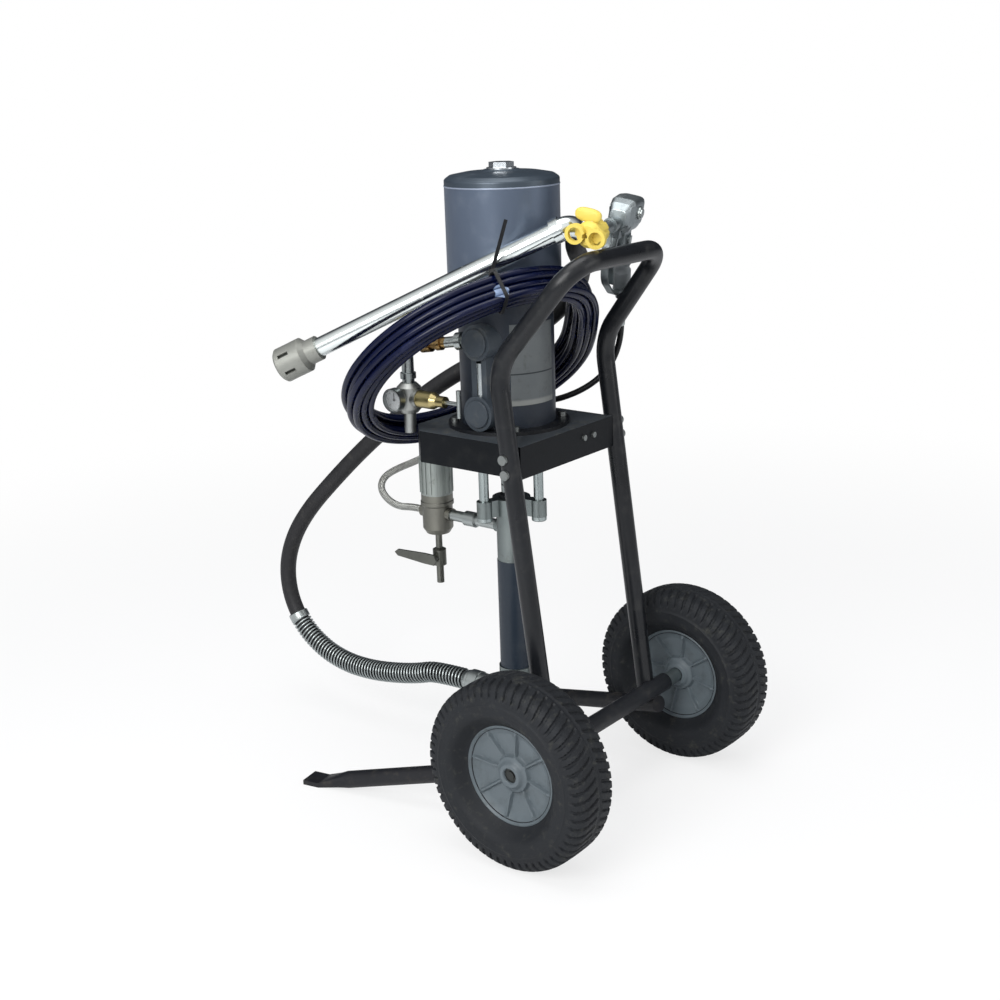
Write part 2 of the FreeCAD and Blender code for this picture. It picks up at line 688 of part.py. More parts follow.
turned(
    "rod_coupling",
    [
        ("pump_rod_radius", "coupling_low"),
        ("coupling_radius - 2", "coupling_low"),
        ("coupling_radius", "coupling_low + 2"),
        ("coupling_radius", "coupling_split - 1"),
        ("coupling_radius - 1.5", "coupling_split"),
        ("coupling_radius", "coupling_split + 1"),
        ("coupling_radius", "coupling_low + coupling_height - 2"),
        ("coupling_radius - 2", "coupling_low + coupling_height"),
        ("rod_radius", "coupling_low + coupling_height"),
        ("rod_radius", "coupling_split"),
        ("pump_rod_radius", "coupling_split"),
    ],
    MOTOR + ("0",),
)
ball_room = "ball_radius + 0.5"
seat_z = "pump_piston_low + 7"
pump_rod = turned(
    "pump_rod_turned",
    [
        ("ball_seat", "pump_piston_low"),
        ("liner_bore - running_gap", "pump_piston_low"),
        ("liner_bore - running_gap", "pump_piston_low + 22"),
        ("pump_rod_radius + 2", "pump_piston_high"),
        ("pump_rod_radius", "pump_piston_high"),
        ("pump_rod_radius", "coupling_split"),
        ("0", "coupling_split"),
        ("0", seat_z + " + 20"),
        (ball_room, seat_z + " + 20"),
        (ball_room, seat_z),
        ("ball_seat", seat_z),
    ],
    MOTOR + ("0",),
)
member(pump_rod)
window = cylinder("2.5", "40", ("-20", "axle_y - motor_setback", seat_z + " + 19"), "near")
drilled("pump_rod", pump_rod, window)

ball_rise = "sqrt(ball_radius ^ 2 - ball_seat ^ 2)"
foot_rise = "sqrt(foot_ball_radius ^ 2 - foot_seat ^ 2)"
for label, radius, height in (
    ("piston_ball", "ball_radius", f"{seat_z} + {ball_rise} + 0.3"),
    ("foot_ball", "foot_ball_radius", f"foot_seat_z + {foot_rise} + 0.3"),
):
    ball = doc.addObject("Part::Sphere", label)
    ball.setExpression("Radius", bound(radius))
    keep(label, put(ball, MOTOR + (height,)))

# Pump: outlet housing hung from three tie rods, the liner and its sleeve, and the foot valve.
lugs = []
tie_bars = []
tie_nuts = []
for number in range(3):
    angle = f"(tie_turn + {120 * number}) * 1deg"
    here = (f"tie_circle * cos({angle})", f"axle_y - motor_setback + tie_circle * sin({angle})")
    lugs.append(cylinder("lug_radius", "yoke_high - yoke_low", here + ("yoke_low",)))
    arm = box("tie_circle", "2 * lug_radius - 6", "yoke_high - yoke_low", ("0", "3 - lug_radius", "0"))
    turn = Rotation(Vector(0, 0, 1), value("tie_turn") + 120 * number)
    arm_holder = doc.addObject("Part::Compound", "arm")
    arm_holder.Links = [arm]
    put(arm_holder, MOTOR + ("yoke_low",), turn)
    lugs.append(arm_holder)
    tie_bars.append(cylinder("tie_radius", "tray_top - yoke_low + 5", here + ("yoke_low - 5",)))
    tie_nuts.append(
        member(turned(
            f"tie_nut_{number}",
            [
                ("tie_radius", "yoke_low - 6"),
                ("tie_radius + 3", "yoke_low - 6"),
                ("tie_radius + 3.6", "yoke_low - 5"),
                ("tie_radius + 3.6", "yoke_low"),
                ("tie_radius", "yoke_low"),
            ],
            here + ("0",),
        ))
    )
group("tie_rods", *tie_bars, *tie_nuts)
yoke_core = turned(
    "yoke_core",
    [
        ("0", "outlet_low"),
        ("outlet_radius", "outlet_low"),
        ("outlet_radius", "yoke_low"),
        ("yoke_radius", "yoke_low"),
        ("yoke_radius", "yoke_high"),
        ("0", "yoke_high"),
    ],
    MOTOR + ("0",),
)
outlet_port = cylinder("pipe_union_radius", "outlet_radius + 5", MOTOR + ("outlet_z",), "front")
housing_solid = member(joined("yoke_solid", member(yoke_core), outlet_port, *lugs))
housing_tools = [
    cylinder("pump_rod_radius + 0.2", "200", MOTOR + ("outlet_low - 10",)),
    cylinder("liner_radius", "liner_bore", MOTOR + ("outlet_low - 1",)),
    cylinder("packing_radius", "30", MOTOR + ("yoke_high - 20",)),
    cylinder("4", "outlet_radius + 10", MOTOR + ("outlet_z",), "front"),
]
for number in range(3):
    angle = f"(tie_turn + {120 * number}) * 1deg"
    here = (f"tie_circle * cos({angle})", f"axle_y - motor_setback + tie_circle * sin({angle})")
    housing_tools.append(cylinder("tie_radius", "60", here + ("yoke_low - 10",)))
housing_tools.append(cylinder("liner_bore", "outlet_z + 12 - outlet_low", MOTOR + ("outlet_low",)))
drilled("outlet_housing", housing_solid, *housing_tools)
packings = turned(
    "packings",
    [
        ("pump_rod_radius + running_gap", "yoke_high - 20"),
        ("packing_radius", "yoke_high - 20"),
        ("packing_radius", "yoke_high - 2"),
        ("pump_rod_radius + running_gap", "yoke_high - 2"),
    ],
    MOTOR + ("0",),
)
gland = turned(
    "gland",
    [
        ("pump_rod_radius + 0.2", "yoke_high - 2"),
        ("packing_radius", "yoke_high - 2"),
        ("packing_radius", "yoke_high"),
        ("nut_radius", "yoke_high"),
        ("nut_radius", "yoke_high + nut_height"),
        ("pump_rod_radius + 0.2", "yoke_high + nut_height"),
    ],
    MOTOR + ("0",),
)
group("rod_packings", member(packings), member(gland))
liner_top = "outlet_low + liner_bore - 1"
liner = turned(
    "liner",
    [
        ("liner_bore", "liner_low"),
        ("liner_radius", "liner_low"),
        ("liner_radius", liner_top),
        ("liner_bore", liner_top),
    ],
    MOTOR + ("0",),
)
sleeve = turned(
    "sleeve",
    [
        ("liner_radius", "foot_high"),
        ("sleeve_radius", "foot_high"),
        ("sleeve_radius", "outlet_low"),
        ("liner_radius", "outlet_low"),
    ],
    MOTOR + ("0",),
)
group("pump_cylinder", member(liner), member(sleeve))
foot_room = "foot_ball_radius + 0.6"
foot_valve = turned(
    "foot_turned",
    [
        ("0", "foot_low"),
        ("foot_radius - 5", "foot_low"),
        ("foot_radius", "foot_low + 6"),
        ("foot_radius", "foot_high"),
        ("liner_radius", "foot_high"),
        ("liner_radius", "liner_low"),
        (foot_room, "liner_low"),
        (foot_room, "foot_seat_z"),
        ("foot_seat", "foot_seat_z"),
        ("foot_seat", "foot_low + 10"),
        ("0", "foot_low + 10"),
    ],
    MOTOR + ("0",),
)
suction_boss = cylinder("12", "foot_radius", ("0", "axle_y - motor_setback - 8", "swivel_z + 9"), "front")
stop_z = f"foot_seat_z + {foot_rise} + foot_ball_radius + ball_lift + 2.3"
stop_place = ("-foot_ball_radius - 3", "axle_y - motor_setback", stop_z)
stop_pin = cylinder("1.5", "2 * foot_ball_radius + 6", stop_place, "near")
foot_solid = member(joined("foot_solid", member(foot_valve), suction_boss, stop_pin))
suction_port = cylinder("foot_seat", "60", ("0", "axle_y - motor_setback", "swivel_z + 9"), "front")
drilled("foot_valve", foot_solid, suction_port)

# Valve housing on the motor's near side: two round ends with screw caps and a web, over a sliding spool.
valve_place_y = "axle_y - motor_setback + valve_y"
lobes = [
    cylinder("valve_lobe", "valve_face_x - 50", ("50", valve_place_y, height), "near")
    for height in ("valve_low_z", "valve_high_z")
]
web = box(
    "valve_face_x - 56",
    "2 * valve_web_half",
    "valve_high_z - valve_low_z",
    ("50", valve_place_y + " - valve_web_half", "valve_low_z"),
)
valve_solid = member(joined("valve_solid", web, *lobes))
valve_motor = cylinder("barrel_radius", "barrel_top - tray_top", MOTOR + ("tray_top",))
spool_low = "(valve_low_z + valve_high_z - spool_length - spool_travel) / 2"
spool_bore = cylinder(
    "spool_radius + running_gap",
    "spool_length + spool_travel + 2 * stop_gap",
    ("barrel_radius + 6", valve_place_y, spool_low + " - stop_gap"),
)
port_low = cylinder("cap_radius - 4", "3", ("valve_face_x - 3", valve_place_y, "valve_low_z"), "near")
port_high = cylinder("cap_radius - 4", "3", ("valve_face_x - 3", valve_place_y, "valve_high_z"), "near")
housing = member(drilled("valve_drilled", valve_solid, valve_motor, spool_bore, port_low, port_high))
keep("valve_spool", cylinder("spool_radius", "spool_length", ("barrel_radius + 6", valve_place_y, spool_low)))
caps = []
for name, height in (("low", "valve_low_z"), ("high", "valve_high_z")):
    caps.append(
        member(turned(
            "cap_" + name,
            [
                ("0", "valve_face_x - 3"),
                ("cap_radius - 4", "valve_face_x - 3"),
                ("cap_radius - 4", "valve_face_x"),
                ("cap_radius", "valve_face_x"),
                ("cap_radius", "valve_face_x + cap_height - 1"),
                ("cap_radius - 1", "valve_face_x + cap_height"),
                ("0", "valve_face_x + cap_height"),
            ],
            ("0", valve_place_y, height),
            "near",
        ))
    )
group("valve_housing", housing, *caps)

# Label plate: a thin sheet rolled to the barrel, turned to the handle side. It is bare.
label_size = (value("barrel_radius + label_thickness"), value("label_height"))
plate = Part.makeCylinder(*label_size, Vector(), Vector(0, 0, 1), value("label_angle"))
plate = plate.cut(Part.makeCylinder(value("barrel_radius"), value("label_height")))
plate.rotate(Vector(), Vector(0, 0, 1), 42)
plate.translate(cart(0, -value("motor_setback"), value("label_low_z")))
formed("label_plate", plate)

# Air inlet: regulator with its gauge, adjusting screw, inlet nipple, and the fittings to the motor's valve.
air_place = ("air_x", "axle_y - air_setback")
air_low = "air_z - air_body_height / 2"
air_body = turned(
    "air_body",
    [
        ("0", air_low),
        ("air_body_radius - 5", air_low),
        ("air_body_radius", air_low + " + 6"),
        ("air_body_radius", "air_z + air_body_height / 2 - 6"),
        ("air_body_radius - 6", "air_z + air_body_height / 2"),
        ("0", "air_z + air_body_height / 2"),
    ],
    air_place + ("0",),
)
gauge_boss = cylinder("8", "gauge_face_x - gauge_depth - air_x", air_place + ("air_z + 2",), "near")
bonnet_seat = cylinder("bonnet_radius + 1", "air_body_radius + 3", air_place + ("air_z",), "rear")
nipple = cylinder("inlet_thread + 2.6", "inlet_length", air_place + (air_low + " + 6",), "down")
air_solid = member(joined("air_solid", member(air_body), gauge_boss, bonnet_seat, nipple))
inlet_hole = cylinder("inlet_thread", "inlet_depth", air_place + (air_low + " + 6 - inlet_length",), "up")
stem_hole = cylinder("stem_radius + running_gap", "60", air_place + ("air_z",), "rear")
drilled("regulator_body", air_solid, inlet_hole, stem_hole)
bonnet_start = "axle_y - air_setback + air_body_radius + 3"
turned(
    "regulator_bonnet",
    [
        ("stem_radius + running_gap", "0"),
        ("bonnet_radius", "0"),
        ("bonnet_radius", "bonnet_length * 0.55"),
        ("bonnet_radius - 4", "bonnet_length * 0.72"),
        ("bonnet_radius - 4", "bonnet_length"),
        ("stem_radius + running_gap", "bonnet_length"),
    ],
    ("air_x", bonnet_start, "air_z"),
    "rear",
)
screw_length = f"axle_y + bar_y - ({bonnet_start}) + 6"
screw_stem = cylinder("stem_radius", screw_length, ("air_x", bonnet_start + " - 6", "air_z"), "rear")
screw_bar = cylinder("bar_radius", "bar_length", ("air_x", "axle_y + bar_y", "air_z - bar_length / 2"))
joined("regulator_screw", screw_stem, screw_bar)

gauge_back = "gauge_face_x - gauge_depth"
gauge_place = ("0", "axle_y - air_setback", "air_z + 2")
case = turned(
    "case",
    [
        ("0", gauge_back),
        ("gauge_radius - 2", gauge_back),
        ("gauge_radius", gauge_back + " + 3"),
        ("gauge_radius", "gauge_face_x"),
        ("gauge_radius - gauge_wall", "gauge_face_x"),
        ("gauge_radius - gauge_wall", gauge_back + " + 6"),
        ("0", gauge_back + " + 6"),
    ],
    gauge_place,
    "near",
)
dial = turned(
    "dial",
    [
        ("0", gauge_back + " + 6"),
        ("gauge_radius - gauge_wall", gauge_back + " + 6"),
        ("gauge_radius - gauge_wall", gauge_back + " + 6.8"),
        ("0", gauge_back + " + 6.8"),
    ],
    gauge_place,
    "near",
)
group("gauge_case", member(case), member(dial))
glass_back = "gauge_face_x - 1 - glass_thickness"
turned(
    "gauge_glass",
    [
        ("0", glass_back),
        ("gauge_radius - gauge_wall", glass_back),
        ("gauge_radius - gauge_wall", glass_back + " + glass_thickness"),
        ("0", glass_back + " + glass_thickness"),
    ],
    gauge_place,
    "near",
)
pointer_hub = cylinder("1.8", "1.6", (gauge_back + " + 7.1",) + gauge_place[1:], "near")
blade_place = (gauge_back + " + 7.6", gauge_place[1] + " - 0.6", "air_z")
pointer_blade = box("0.6", "1.2", "gauge_radius - 5", blade_place)
joined("gauge_pointer", pointer_hub, pointer_blade)

valve_side_y = valve_place_y + " - valve_lobe"
elbow_top = Vector(value("air_x"), value(air_place[1]), value("elbow_z"))
port = Vector(value("valve_face_x - 12"), value(valve_side_y), value("valve_high_z"))
fittings = []
riser_low = value("air_z + air_body_height / 2")
riser = Part.makeCylinder(8.5, value("elbow_z") - riser_low, Vector(elbow_top.x, elbow_top.y, riser_low))
across_way = port - elbow_top
knuckle = Part.makeSphere(10.5, elbow_top)
collar_low = Part.makeCylinder(11, 8, Vector(elbow_top.x, elbow_top.y, riser_low + 6))
cross_pipe = Part.makeCylinder(value("pipe_radius"), across_way.Length + 12, elbow_top, across_way)
lobe_back = Vector(40, value(valve_place_y), value("valve_high_z"))
lobe_bar = Part.makeCylinder(value("valve_lobe"), value("valve_face_x - 40"), lobe_back, Vector(1, 0, 0))
along = Vector(across_way).normalize()
steel_ring = Part.makeCylinder(12, 9, elbow_top + along * (across_way.Length - 15), along)
brass_nut = Part.makeCylinder(11, 15, elbow_top + along * 26, along)
small_ring = Part.makeCylinder(10, 8, elbow_top + along * 50, along)
motor_bar = Part.makeCylinder(value("barrel_radius"), 200, cart(0, -value("motor_setback"), 560))
train = riser.fuse([knuckle, collar_low, cross_pipe, steel_ring, brass_nut, small_ring])
formed("air_fittings", train.cut(lobe_bar).cut(motor_bar))

# Filter: a ribbed bowl over a steel body, with its element, the pipe from the pump and the drain below.
filter_place = ("0", "axle_y - filter_setback")
turned_bowl = turned(
    "filter_bowl",
    [
        ("filter_radius - filter_wall", "filter_split"),
        ("filter_radius", "filter_split"),
        ("filter_radius", "filter_high - 13"),
        ("filter_radius - 8", "filter_high"),
        ("0", "filter_high"),
        ("0", "filter_high - filter_wall"),
        ("filter_radius - filter_wall - 3", "filter_high - 9"),
        ("filter_radius - filter_wall", "filter_high - 14"),
    ],
    filter_place + ("0",),
)
rib_sketch = outline_sketch(
    turned_bowl,
    "bowl_rib_outline",
    [
        ("filter_radius - 1", "filter_split + 3"),
        ("filter_radius + filter_rib", "filter_split + 3"),
        ("filter_radius + filter_rib", "filter_high - 18"),
        ("filter_radius - 1", "filter_high - 14"),
    ],
    "XZ_Plane",
)
bowl_rib = turned_bowl.newObject("PartDesign::Pad", "bowl_rib")
bowl_rib.Profile = rib_sketch
bowl_rib.Midplane = True
bowl_rib.Length = 2.4
doc.recompute()
bowl_ribs = turned_bowl.newObject("PartDesign::PolarPattern", "bowl_ribs")
bowl_ribs.Originals = [bowl_rib]
bowl_ribs.Axis = (rib_sketch, ["V_Axis"])
bowl_ribs.Angle = 360
bowl_ribs.Occurrences = 18
turned_bowl.Tip = bowl_ribs
doc.recompute()
filter_core = turned(
    "filter_core",
    [
        ("0", "filter_low"),
        ("filter_radius - 6", "filter_low"),
        ("filter_radius - 1", "filter_low + 8"),
        ("filter_radius - 1", "filter_split - 18"),
        ("filter_radius + 1", "filter_split - 16"),
        ("filter_radius + 1", "filter_split - 11"),
        ("filter_radius", "filter_split - 10"),
        ("filter_radius", "filter_split"),
        ("0", "filter_split"),
    ],
    filter_place + ("0",),
)
filter_ports = [
    cylinder("pipe_union_radius", "filter_radius + 5", filter_place + ("outlet_z",), facing)
    for facing in ("rear", "front")
]
filter_solid = member(joined("filter_solid", member(filter_core), *filter_ports))
filter_well = cylinder("element_radius + 2", "40", filter_place + ("filter_split - 30",))
cross_place = ("0", "axle_y - filter_setback - filter_radius - 20", "outlet_z")
filter_cross = cylinder("3.5", "2 * filter_radius + 40", cross_place, "rear")
filter_drain = cylinder("drain_bore", "60", filter_place + ("filter_low - 1",))
drilled("filter_body", filter_solid, filter_well, filter_cross, filter_drain)
turned(
    "filter_element",
    [
        ("element_radius - 2", "filter_split - 30"),
        ("element_radius", "filter_split - 30"),
        ("element_radius", "filter_high - 16"),
        ("element_radius - 2", "filter_high - 16"),
    ],
    filter_place + ("0",),
)
pipe_start = "axle_y - motor_setback - outlet_radius - 5"
pipe_length = "(filter_setback - motor_setback - filter_radius - outlet_radius - 10)"
turned(
    "fluid_pipe",
    [
        ("4", "0"),
        ("fluid_pipe_radius", "0"),
        ("fluid_pipe_radius", f"{pipe_length} * 0.42"),
        ("fluid_pipe_radius + 3", f"{pipe_length} * 0.45"),
        ("fluid_pipe_radius + 3", f"{pipe_length} * 0.68"),
        ("fluid_pipe_radius", f"{pipe_length} * 0.7"),
        ("fluid_pipe_radius", pipe_length),
        ("4", pipe_length),
    ],
    ("0", pipe_start, "outlet_z"),
    "front",
)
drain_top = "filter_low"
drain_turned = turned(
    "drain_turned",
    [
        ("0", "drain_z - 12"),
        ("drain_radius", "drain_z - 12"),
        ("drain_radius", "drain_z + 12"),
        ("5", "drain_z + 15"),
        ("5", drain_top),
        ("0", drain_top),
    ],
    filter_place + ("0",),
)
drain_spout = cylinder("5.5", "34", filter_place + ("drain_z - 40",))
drain_gland = cylinder("6", "drain_radius + 7", filter_place + ("drain_z",), "near")
drain_solid = member(joined("drain_solid", member(drain_turned), drain_spout, drain_gland))
drain_way = cylinder("drain_bore", "120", filter_place + ("drain_z - 45",))
drain_stem_hole = cylinder("3 + running_gap", "40", filter_place + ("drain_z",), "near")
drilled("drain_valve", drain_solid, drain_way, drain_stem_hole)
handle_x = "drain_radius + 7.3"
drain_stem = cylinder("3", "drain_radius + 9 - 4", ("4", filter_place[1], "drain_z"), "near")
drain_blade = padded(
    "drain_blade",
    [
        ("-14", "-8"), ("6", "-8"), ("10", "0"), ("6", "8"),
        ("-14", "8"), ("-66", "5"), ("-72", "0"), ("-66", "-5"),
    ],
    "0",
    "3.5",
    (handle_x, filter_place[1], "drain_z"),
    Rotation(Vector(0, 1, 0), Vector(0, 0, 1), Vector(1, 0, 0), "ZXY"),
)
joined("drain_handle", drain_stem, member(drain_blade))

# Suction side: hose swivel at the foot valve, the lance with its strainer and the elbow at the lance's top.
swivel_start = "axle_y - motor_setback - foot_radius - 8"
turned(
    "suction_swivel",
    [
        ("foot_seat", "0"),
        ("17", "0"),
        ("17", "20"),
        ("15", "24"),
        ("15", "34"),
        ("18", "36"),
        ("18", "52"),
        ("14", "56"),
        ("9.5", "58"),
        ("9.5", "74"),
        ("foot_seat", "74"),
    ],
    ("0", swivel_start, "swivel_z + 9"),
    "front",
)
# The last point of the suction hose before it reaches the elbow.
HOSE_TOP = cart(-10, -48, 787)
lance_low = cart(198.5, -341.0, 649.0)
lance_high = cart(37.3, -31.1, 811.7)
motor_axis = cart(0, -value("motor_setback"), 0)
plan = Vector(lance_high.x - lance_low.x, lance_high.y - lance_low.y, 0).normalize()
beside = Vector(plan.y, -plan.x, 0)
offset = (lance_low - motor_axis).dot(beside)
lean = value("jacket_radius + tube_radius + 0.3") - abs(offset)
shift = beside * (lean if offset > 0 else -lean)
lance_low = lance_low + shift
lance_high = lance_high + shift
lance_way = lance_low - lance_high
lance = Part.makeCylinder(value("tube_radius"), lance_way.Length, lance_high, lance_way)
lance = lance.cut(Part.makeCylinder(value("tube_bore"), lance_way.Length, lance_high, lance_way))
tip_way = Vector(lance_way).normalize()
cage_radius = value("strainer_radius")
cage_length = value("strainer_length")
cage = [
    Part.makeCylinder(value("tube_radius + 4"), 16, lance_low - tip_way * 16, tip_way),
    Part.makeCone(value("tube_radius + 4"), cage_radius, 6, lance_low, tip_way),
    Part.makeCylinder(cage_radius, cage_length - 10, lance_low + tip_way * 6, tip_way),
    Part.makeCone(cage_radius, cage_radius - 4, 4, lance_low + tip_way * (cage_length - 4), tip_way),
]
strainer = cage[0].fuse(cage[1:]).cut(
    Part.makeCylinder(value("tube_radius"), 16, lance_low - tip_way * 16, tip_way)
)
strainer = strainer.cut(Part.makeCylinder(cage_radius - 3, cage_length - 3, lance_low + tip_way * 8, tip_way))
strainer = strainer.cut(Part.makeCylinder(value("tube_bore"), 20, lance_low - tip_way * 2, tip_way))
slot_place = Placement(lance_low + tip_way * 20, Rotation(Vector(0, 0, 1), tip_way))
for number in range(6):
    slot = Part.makeBox(cage_radius * 2, 5, 16, Vector(cage_radius - 6, -2.5, 0))
    slot.rotate(Vector(), Vector(0, 0, 1), 60 * number)
    slot.Placement = slot_place.multiply(slot.Placement)
    strainer = strainer.cut(slot)
formed("strainer", strainer)
elbow_centre = lance_high - tip_way * value("elbow_radius")
elbow_way = (HOSE_TOP - elbow_centre).normalize()
elbow_out = elbow_centre + elbow_way * value("elbow_reach")
elbow_start = lance_high + tip_way * value("elbow_overlap")
elbow_overlap = value("elbow_overlap")
elbow_radius = value("elbow_radius")
elbow_shape = bent([elbow_start, elbow_centre, elbow_out], [value("elbow_bend")], elbow_radius)
elbow_shape = elbow_shape.cut(Part.makeCylinder(value("tube_radius"), elbow_overlap, lance_high, tip_way))
elbow_ring = Part.makeCylinder(elbow_radius + 2, elbow_overlap - 3, elbow_start, tip_way * -1)
elbow_ring = elbow_ring.cut(Part.makeCylinder(elbow_radius, elbow_overlap, elbow_start, tip_way * -1))
formed("suction_tube", Part.Compound([lance, elbow_shape, elbow_ring]))

# Suction hose: from the swivel out over the front, up past the long hose and round the motor to the elbow.
hose_start = Vector(0, value(swivel_start) - 74 - value("joint_gap"), value("swivel_z + 9"))
suction_route = [
    hose_start,
    cart(0, -312, 125),
    cart(0, -355, 110),
    cart(0, -405, 99),
    cart(0, -455, 92),
    cart(0, -508, 92),
    cart(0, -560, 105),
    cart(0, -606, 136),
    cart(0, -632, 182),
    cart(-2, -637, 235),
    cart(-6, -619, 288),
    cart(-12, -584, 338),
    cart(-24, -538, 388),
    cart(-38, -487, 440),
    cart(-50, -435, 486),
    cart(-60, -385, 528),
    cart(-78, -335, 565),
    cart(-102, -288, 594),
    cart(-124, -238, 624),
    cart(-134, -186, 657),
    cart(-126, -140, 694),
    cart(-104, -106, 727),
    cart(-72, -83, 754),
    cart(-38, -68, 774),
    HOSE_TOP,
    elbow_out + elbow_way * value("joint_gap"),
]
suction_radii = easy_radii(suction_route)
suction_wire = route(suction_route, suction_radii)
suction_hose = pipe(suction_wire, value("suction_radius"), suction_route[1] - suction_route[0])
formed("suction_hose", suction_hose)

# Spring guard: one wire wound round the hose from the swivel to past its lowest stretch.
curls = int(value("spring_curls"))
guard_length = 330.0
spring_points = []
spring_headings = []
wind_radius = value("suction_radius + spring_gap + spring_wire")
lower_wire = route(suction_route[:9], suction_radii[:7])
stations = lower_wire.discretize(Number=400)
steps = [(after - before).Length for before, after in zip(stations, stations[1:])]
reach_so_far = [0.0]
for step in steps:
    reach_so_far.append(reach_so_far[-1] + step)


def station(distance):
    """The point at a distance along the hose's line, and the line's heading there."""
    index = max(i for i, reach in enumerate(reach_so_far[:-1]) if reach <= distance)
    part = (distance - reach_so_far[index]) / steps[index]
    heading = (stations[index + 1] - stations[index]).normalize()
    return stations[index] + (stations[index + 1] - stations[index]) * part, heading


def spring_at(turns):
    point, heading = station(6 + guard_length * turns / curls)
    side_way = Vector(1, 0, 0)
    up_way = heading.cross(side_way).normalize()
    angle = 2 * math.pi * turns
    return point + (side_way * math.cos(angle) + up_way * math.sin(angle)) * wind_radius


for quarter in range(4 * curls + 1):
    turns = quarter / 4
    spring_points.append(spring_at(turns))
    ahead = spring_at(min(turns + 0.004, curls)) - spring_at(max(turns - 0.004, 0))
    spring_headings.append(ahead.normalize())
spring_wire_path = biarcs(spring_points, spring_headings)
formed("spring_guard", pipe(spring_wire_path, value("spring_wire"), spring_headings[0], 3))

# Long hose: wound in four layers of three turns, tied, tilted against the motor's jacket.
tilt = math.radians(value("coil_tilt"))
heading_angle = math.radians(value("coil_heading"))
coil_level = Vector(math.cos(heading_angle), math.sin(heading_angle), 0)
coil_high = coil_level * math.cos(tilt) + Vector(0, 0, math.sin(tilt))
coil_side = Vector(-coil_level.y, coil_level.x, 0)
coil_normal = coil_high.cross(coil_side).normalize()
coil_centre = cart(value("coil_x"), -value("coil_setback"), value("coil_z"))
turns_in_layer = int(value("coil_turns_per_layer"))
layers = int(value("coil_layers"))
pitch = value("hose_pitch")
start_angle = 150.0
all_turns = turns_in_layer * layers - 20 / 360
lead_turns = 0.2
# Where the winding gives way to what it rests on: angle, outward and upward shift.
GIVES = ((64.0, -17.0, 0.0), (20.0, 6.0, 0.0), (148.0, 7.0, 8.0))
give_width = 45.0


def coil_at(turns):
    """The long hose's line: it spirals in and out layer by layer, and climbs where the spiral reverses."""
    layer = min(int(turns // turns_in_layer), layers - 1)
    inside = turns - layer * turns_in_layer
    sideways = pitch * (turns_in_layer / 2 - inside)
    if layer % 2:
        sideways = -sideways
    climb = layer
    if layer and inside < 0.25:
        climb = layer - 0.5 * (1 - math.sin(2 * math.pi * inside))
    if layer < layers - 1 and inside > turns_in_layer - 0.25:
        climb = layer + 0.5 * (1 - math.sin(2 * math.pi * (turns_in_layer - inside)))
    rise = (climb - (layers - 1) / 2) * pitch
    lead = max(0, 1 - turns / lead_turns, 1 - (all_turns - turns) / lead_turns) ** 2
    sideways = sideways + 10 * lead
    rise = rise + (6 if turns > lead_turns else -4) * lead
    degrees = start_angle - 360 * turns
    for give_angle, outward, upward in GIVES:
        away = (degrees - give_angle + 180) % 360 - 180
        if abs(away) < give_width:
            share = math.cos(math.pi * away / (2 * give_width)) ** 2
            sideways = sideways + outward * share
            rise = rise + upward * share
    angle = math.radians(degrees)
    radius = value("coil_radius") + sideways
    outward_way = coil_high * math.cos(angle) + coil_side * math.sin(angle)
    return coil_centre + outward_way * radius + coil_normal * rise


coil_stations = [step / 8 for step in range(int(8 * all_turns) + 1)] + [all_turns]
coil_points = [coil_at(turns) for turns in coil_stations]
coil_headings = []
for turns in coil_stations:
    ahead = coil_at(min(turns + 0.004, all_turns)) - coil_at(max(turns - 0.004, 0))
    coil_headings.append(ahead.normalize())
coil_path = biarcs(coil_points, coil_headings)
formed("long_hose", pipe(coil_path, value("hose_radius"), coil_headings[0], 8))
fine_points = [coil_at(step / 24) for step in range(int(24 * all_turns) + 1)]
coil_gap = least_gap(fine_points, 24, 2 * value("hose_radius"))
print("long hose length", round(coil_path.Length), "least gap", round(coil_gap, 2))
spring_fine = [spring_at(step / 16) for step in range(16 * curls + 1)]
print("spring least gap", round(least_gap(spring_fine, 16, 2 * value("spring_wire")), 2))
print("suction hose radii", [round(radius) for radius in suction_radii])
print("suction hose length", round(suction_wire.Length), "volume ratio",
      round(suction_hose.Volume / (suction_wire.Length * math.pi * value("suction_radius") ** 2), 4))

# Zip tie: a band round the wound hose on its near side, with its head and its free tail.
tie_angle = math.radians(-15)
tie_out = coil_high * math.cos(tie_angle) + coil_side * math.sin(tie_angle)
tie_centre = coil_centre + tie_out * value("coil_radius")
tie_along = coil_normal.cross(tie_out).normalize()
half_band = turns_in_layer * pitch / 2 + value("hose_radius") + 0.5
half_rise = (layers - 1) / 2 * pitch + value("hose_radius") + 0.3


def rounded_band(half_out, half_up, corner, width):
    """A closed rounded rectangle round the bundle, given a width along the hose."""
    ends = []
    for a, b in ((1, 1), (-1, 1), (-1, -1), (1, -1)):
        centre = tie_centre + tie_out * a * (half_out - corner) + coil_normal * b * (half_up - corner)
        first = (tie_out * a, coil_normal * b) if a * b > 0 else (coil_normal * b, tie_out * a)
        ends.append((centre, first[0], first[1]))
    edges = []
    last = None
    for centre, first, second in ends:
        begin = centre + first * corner
        finish = centre + second * corner
        middle = centre + (first + second) * (corner / math.sqrt(2))
        if last is not None:
            edges.append(Part.LineSegment(last, begin).toShape())
        edges.append(Part.Arc(begin, middle, finish).toShape())
        last = finish
    edges.append(Part.LineSegment(last, ends[0][0] + ends[0][1] * corner).toShape())
    face = Part.Face(Part.Wire(edges))
    face.translate(tie_along * (-width / 2))
    return face.extrude(tie_along * width)


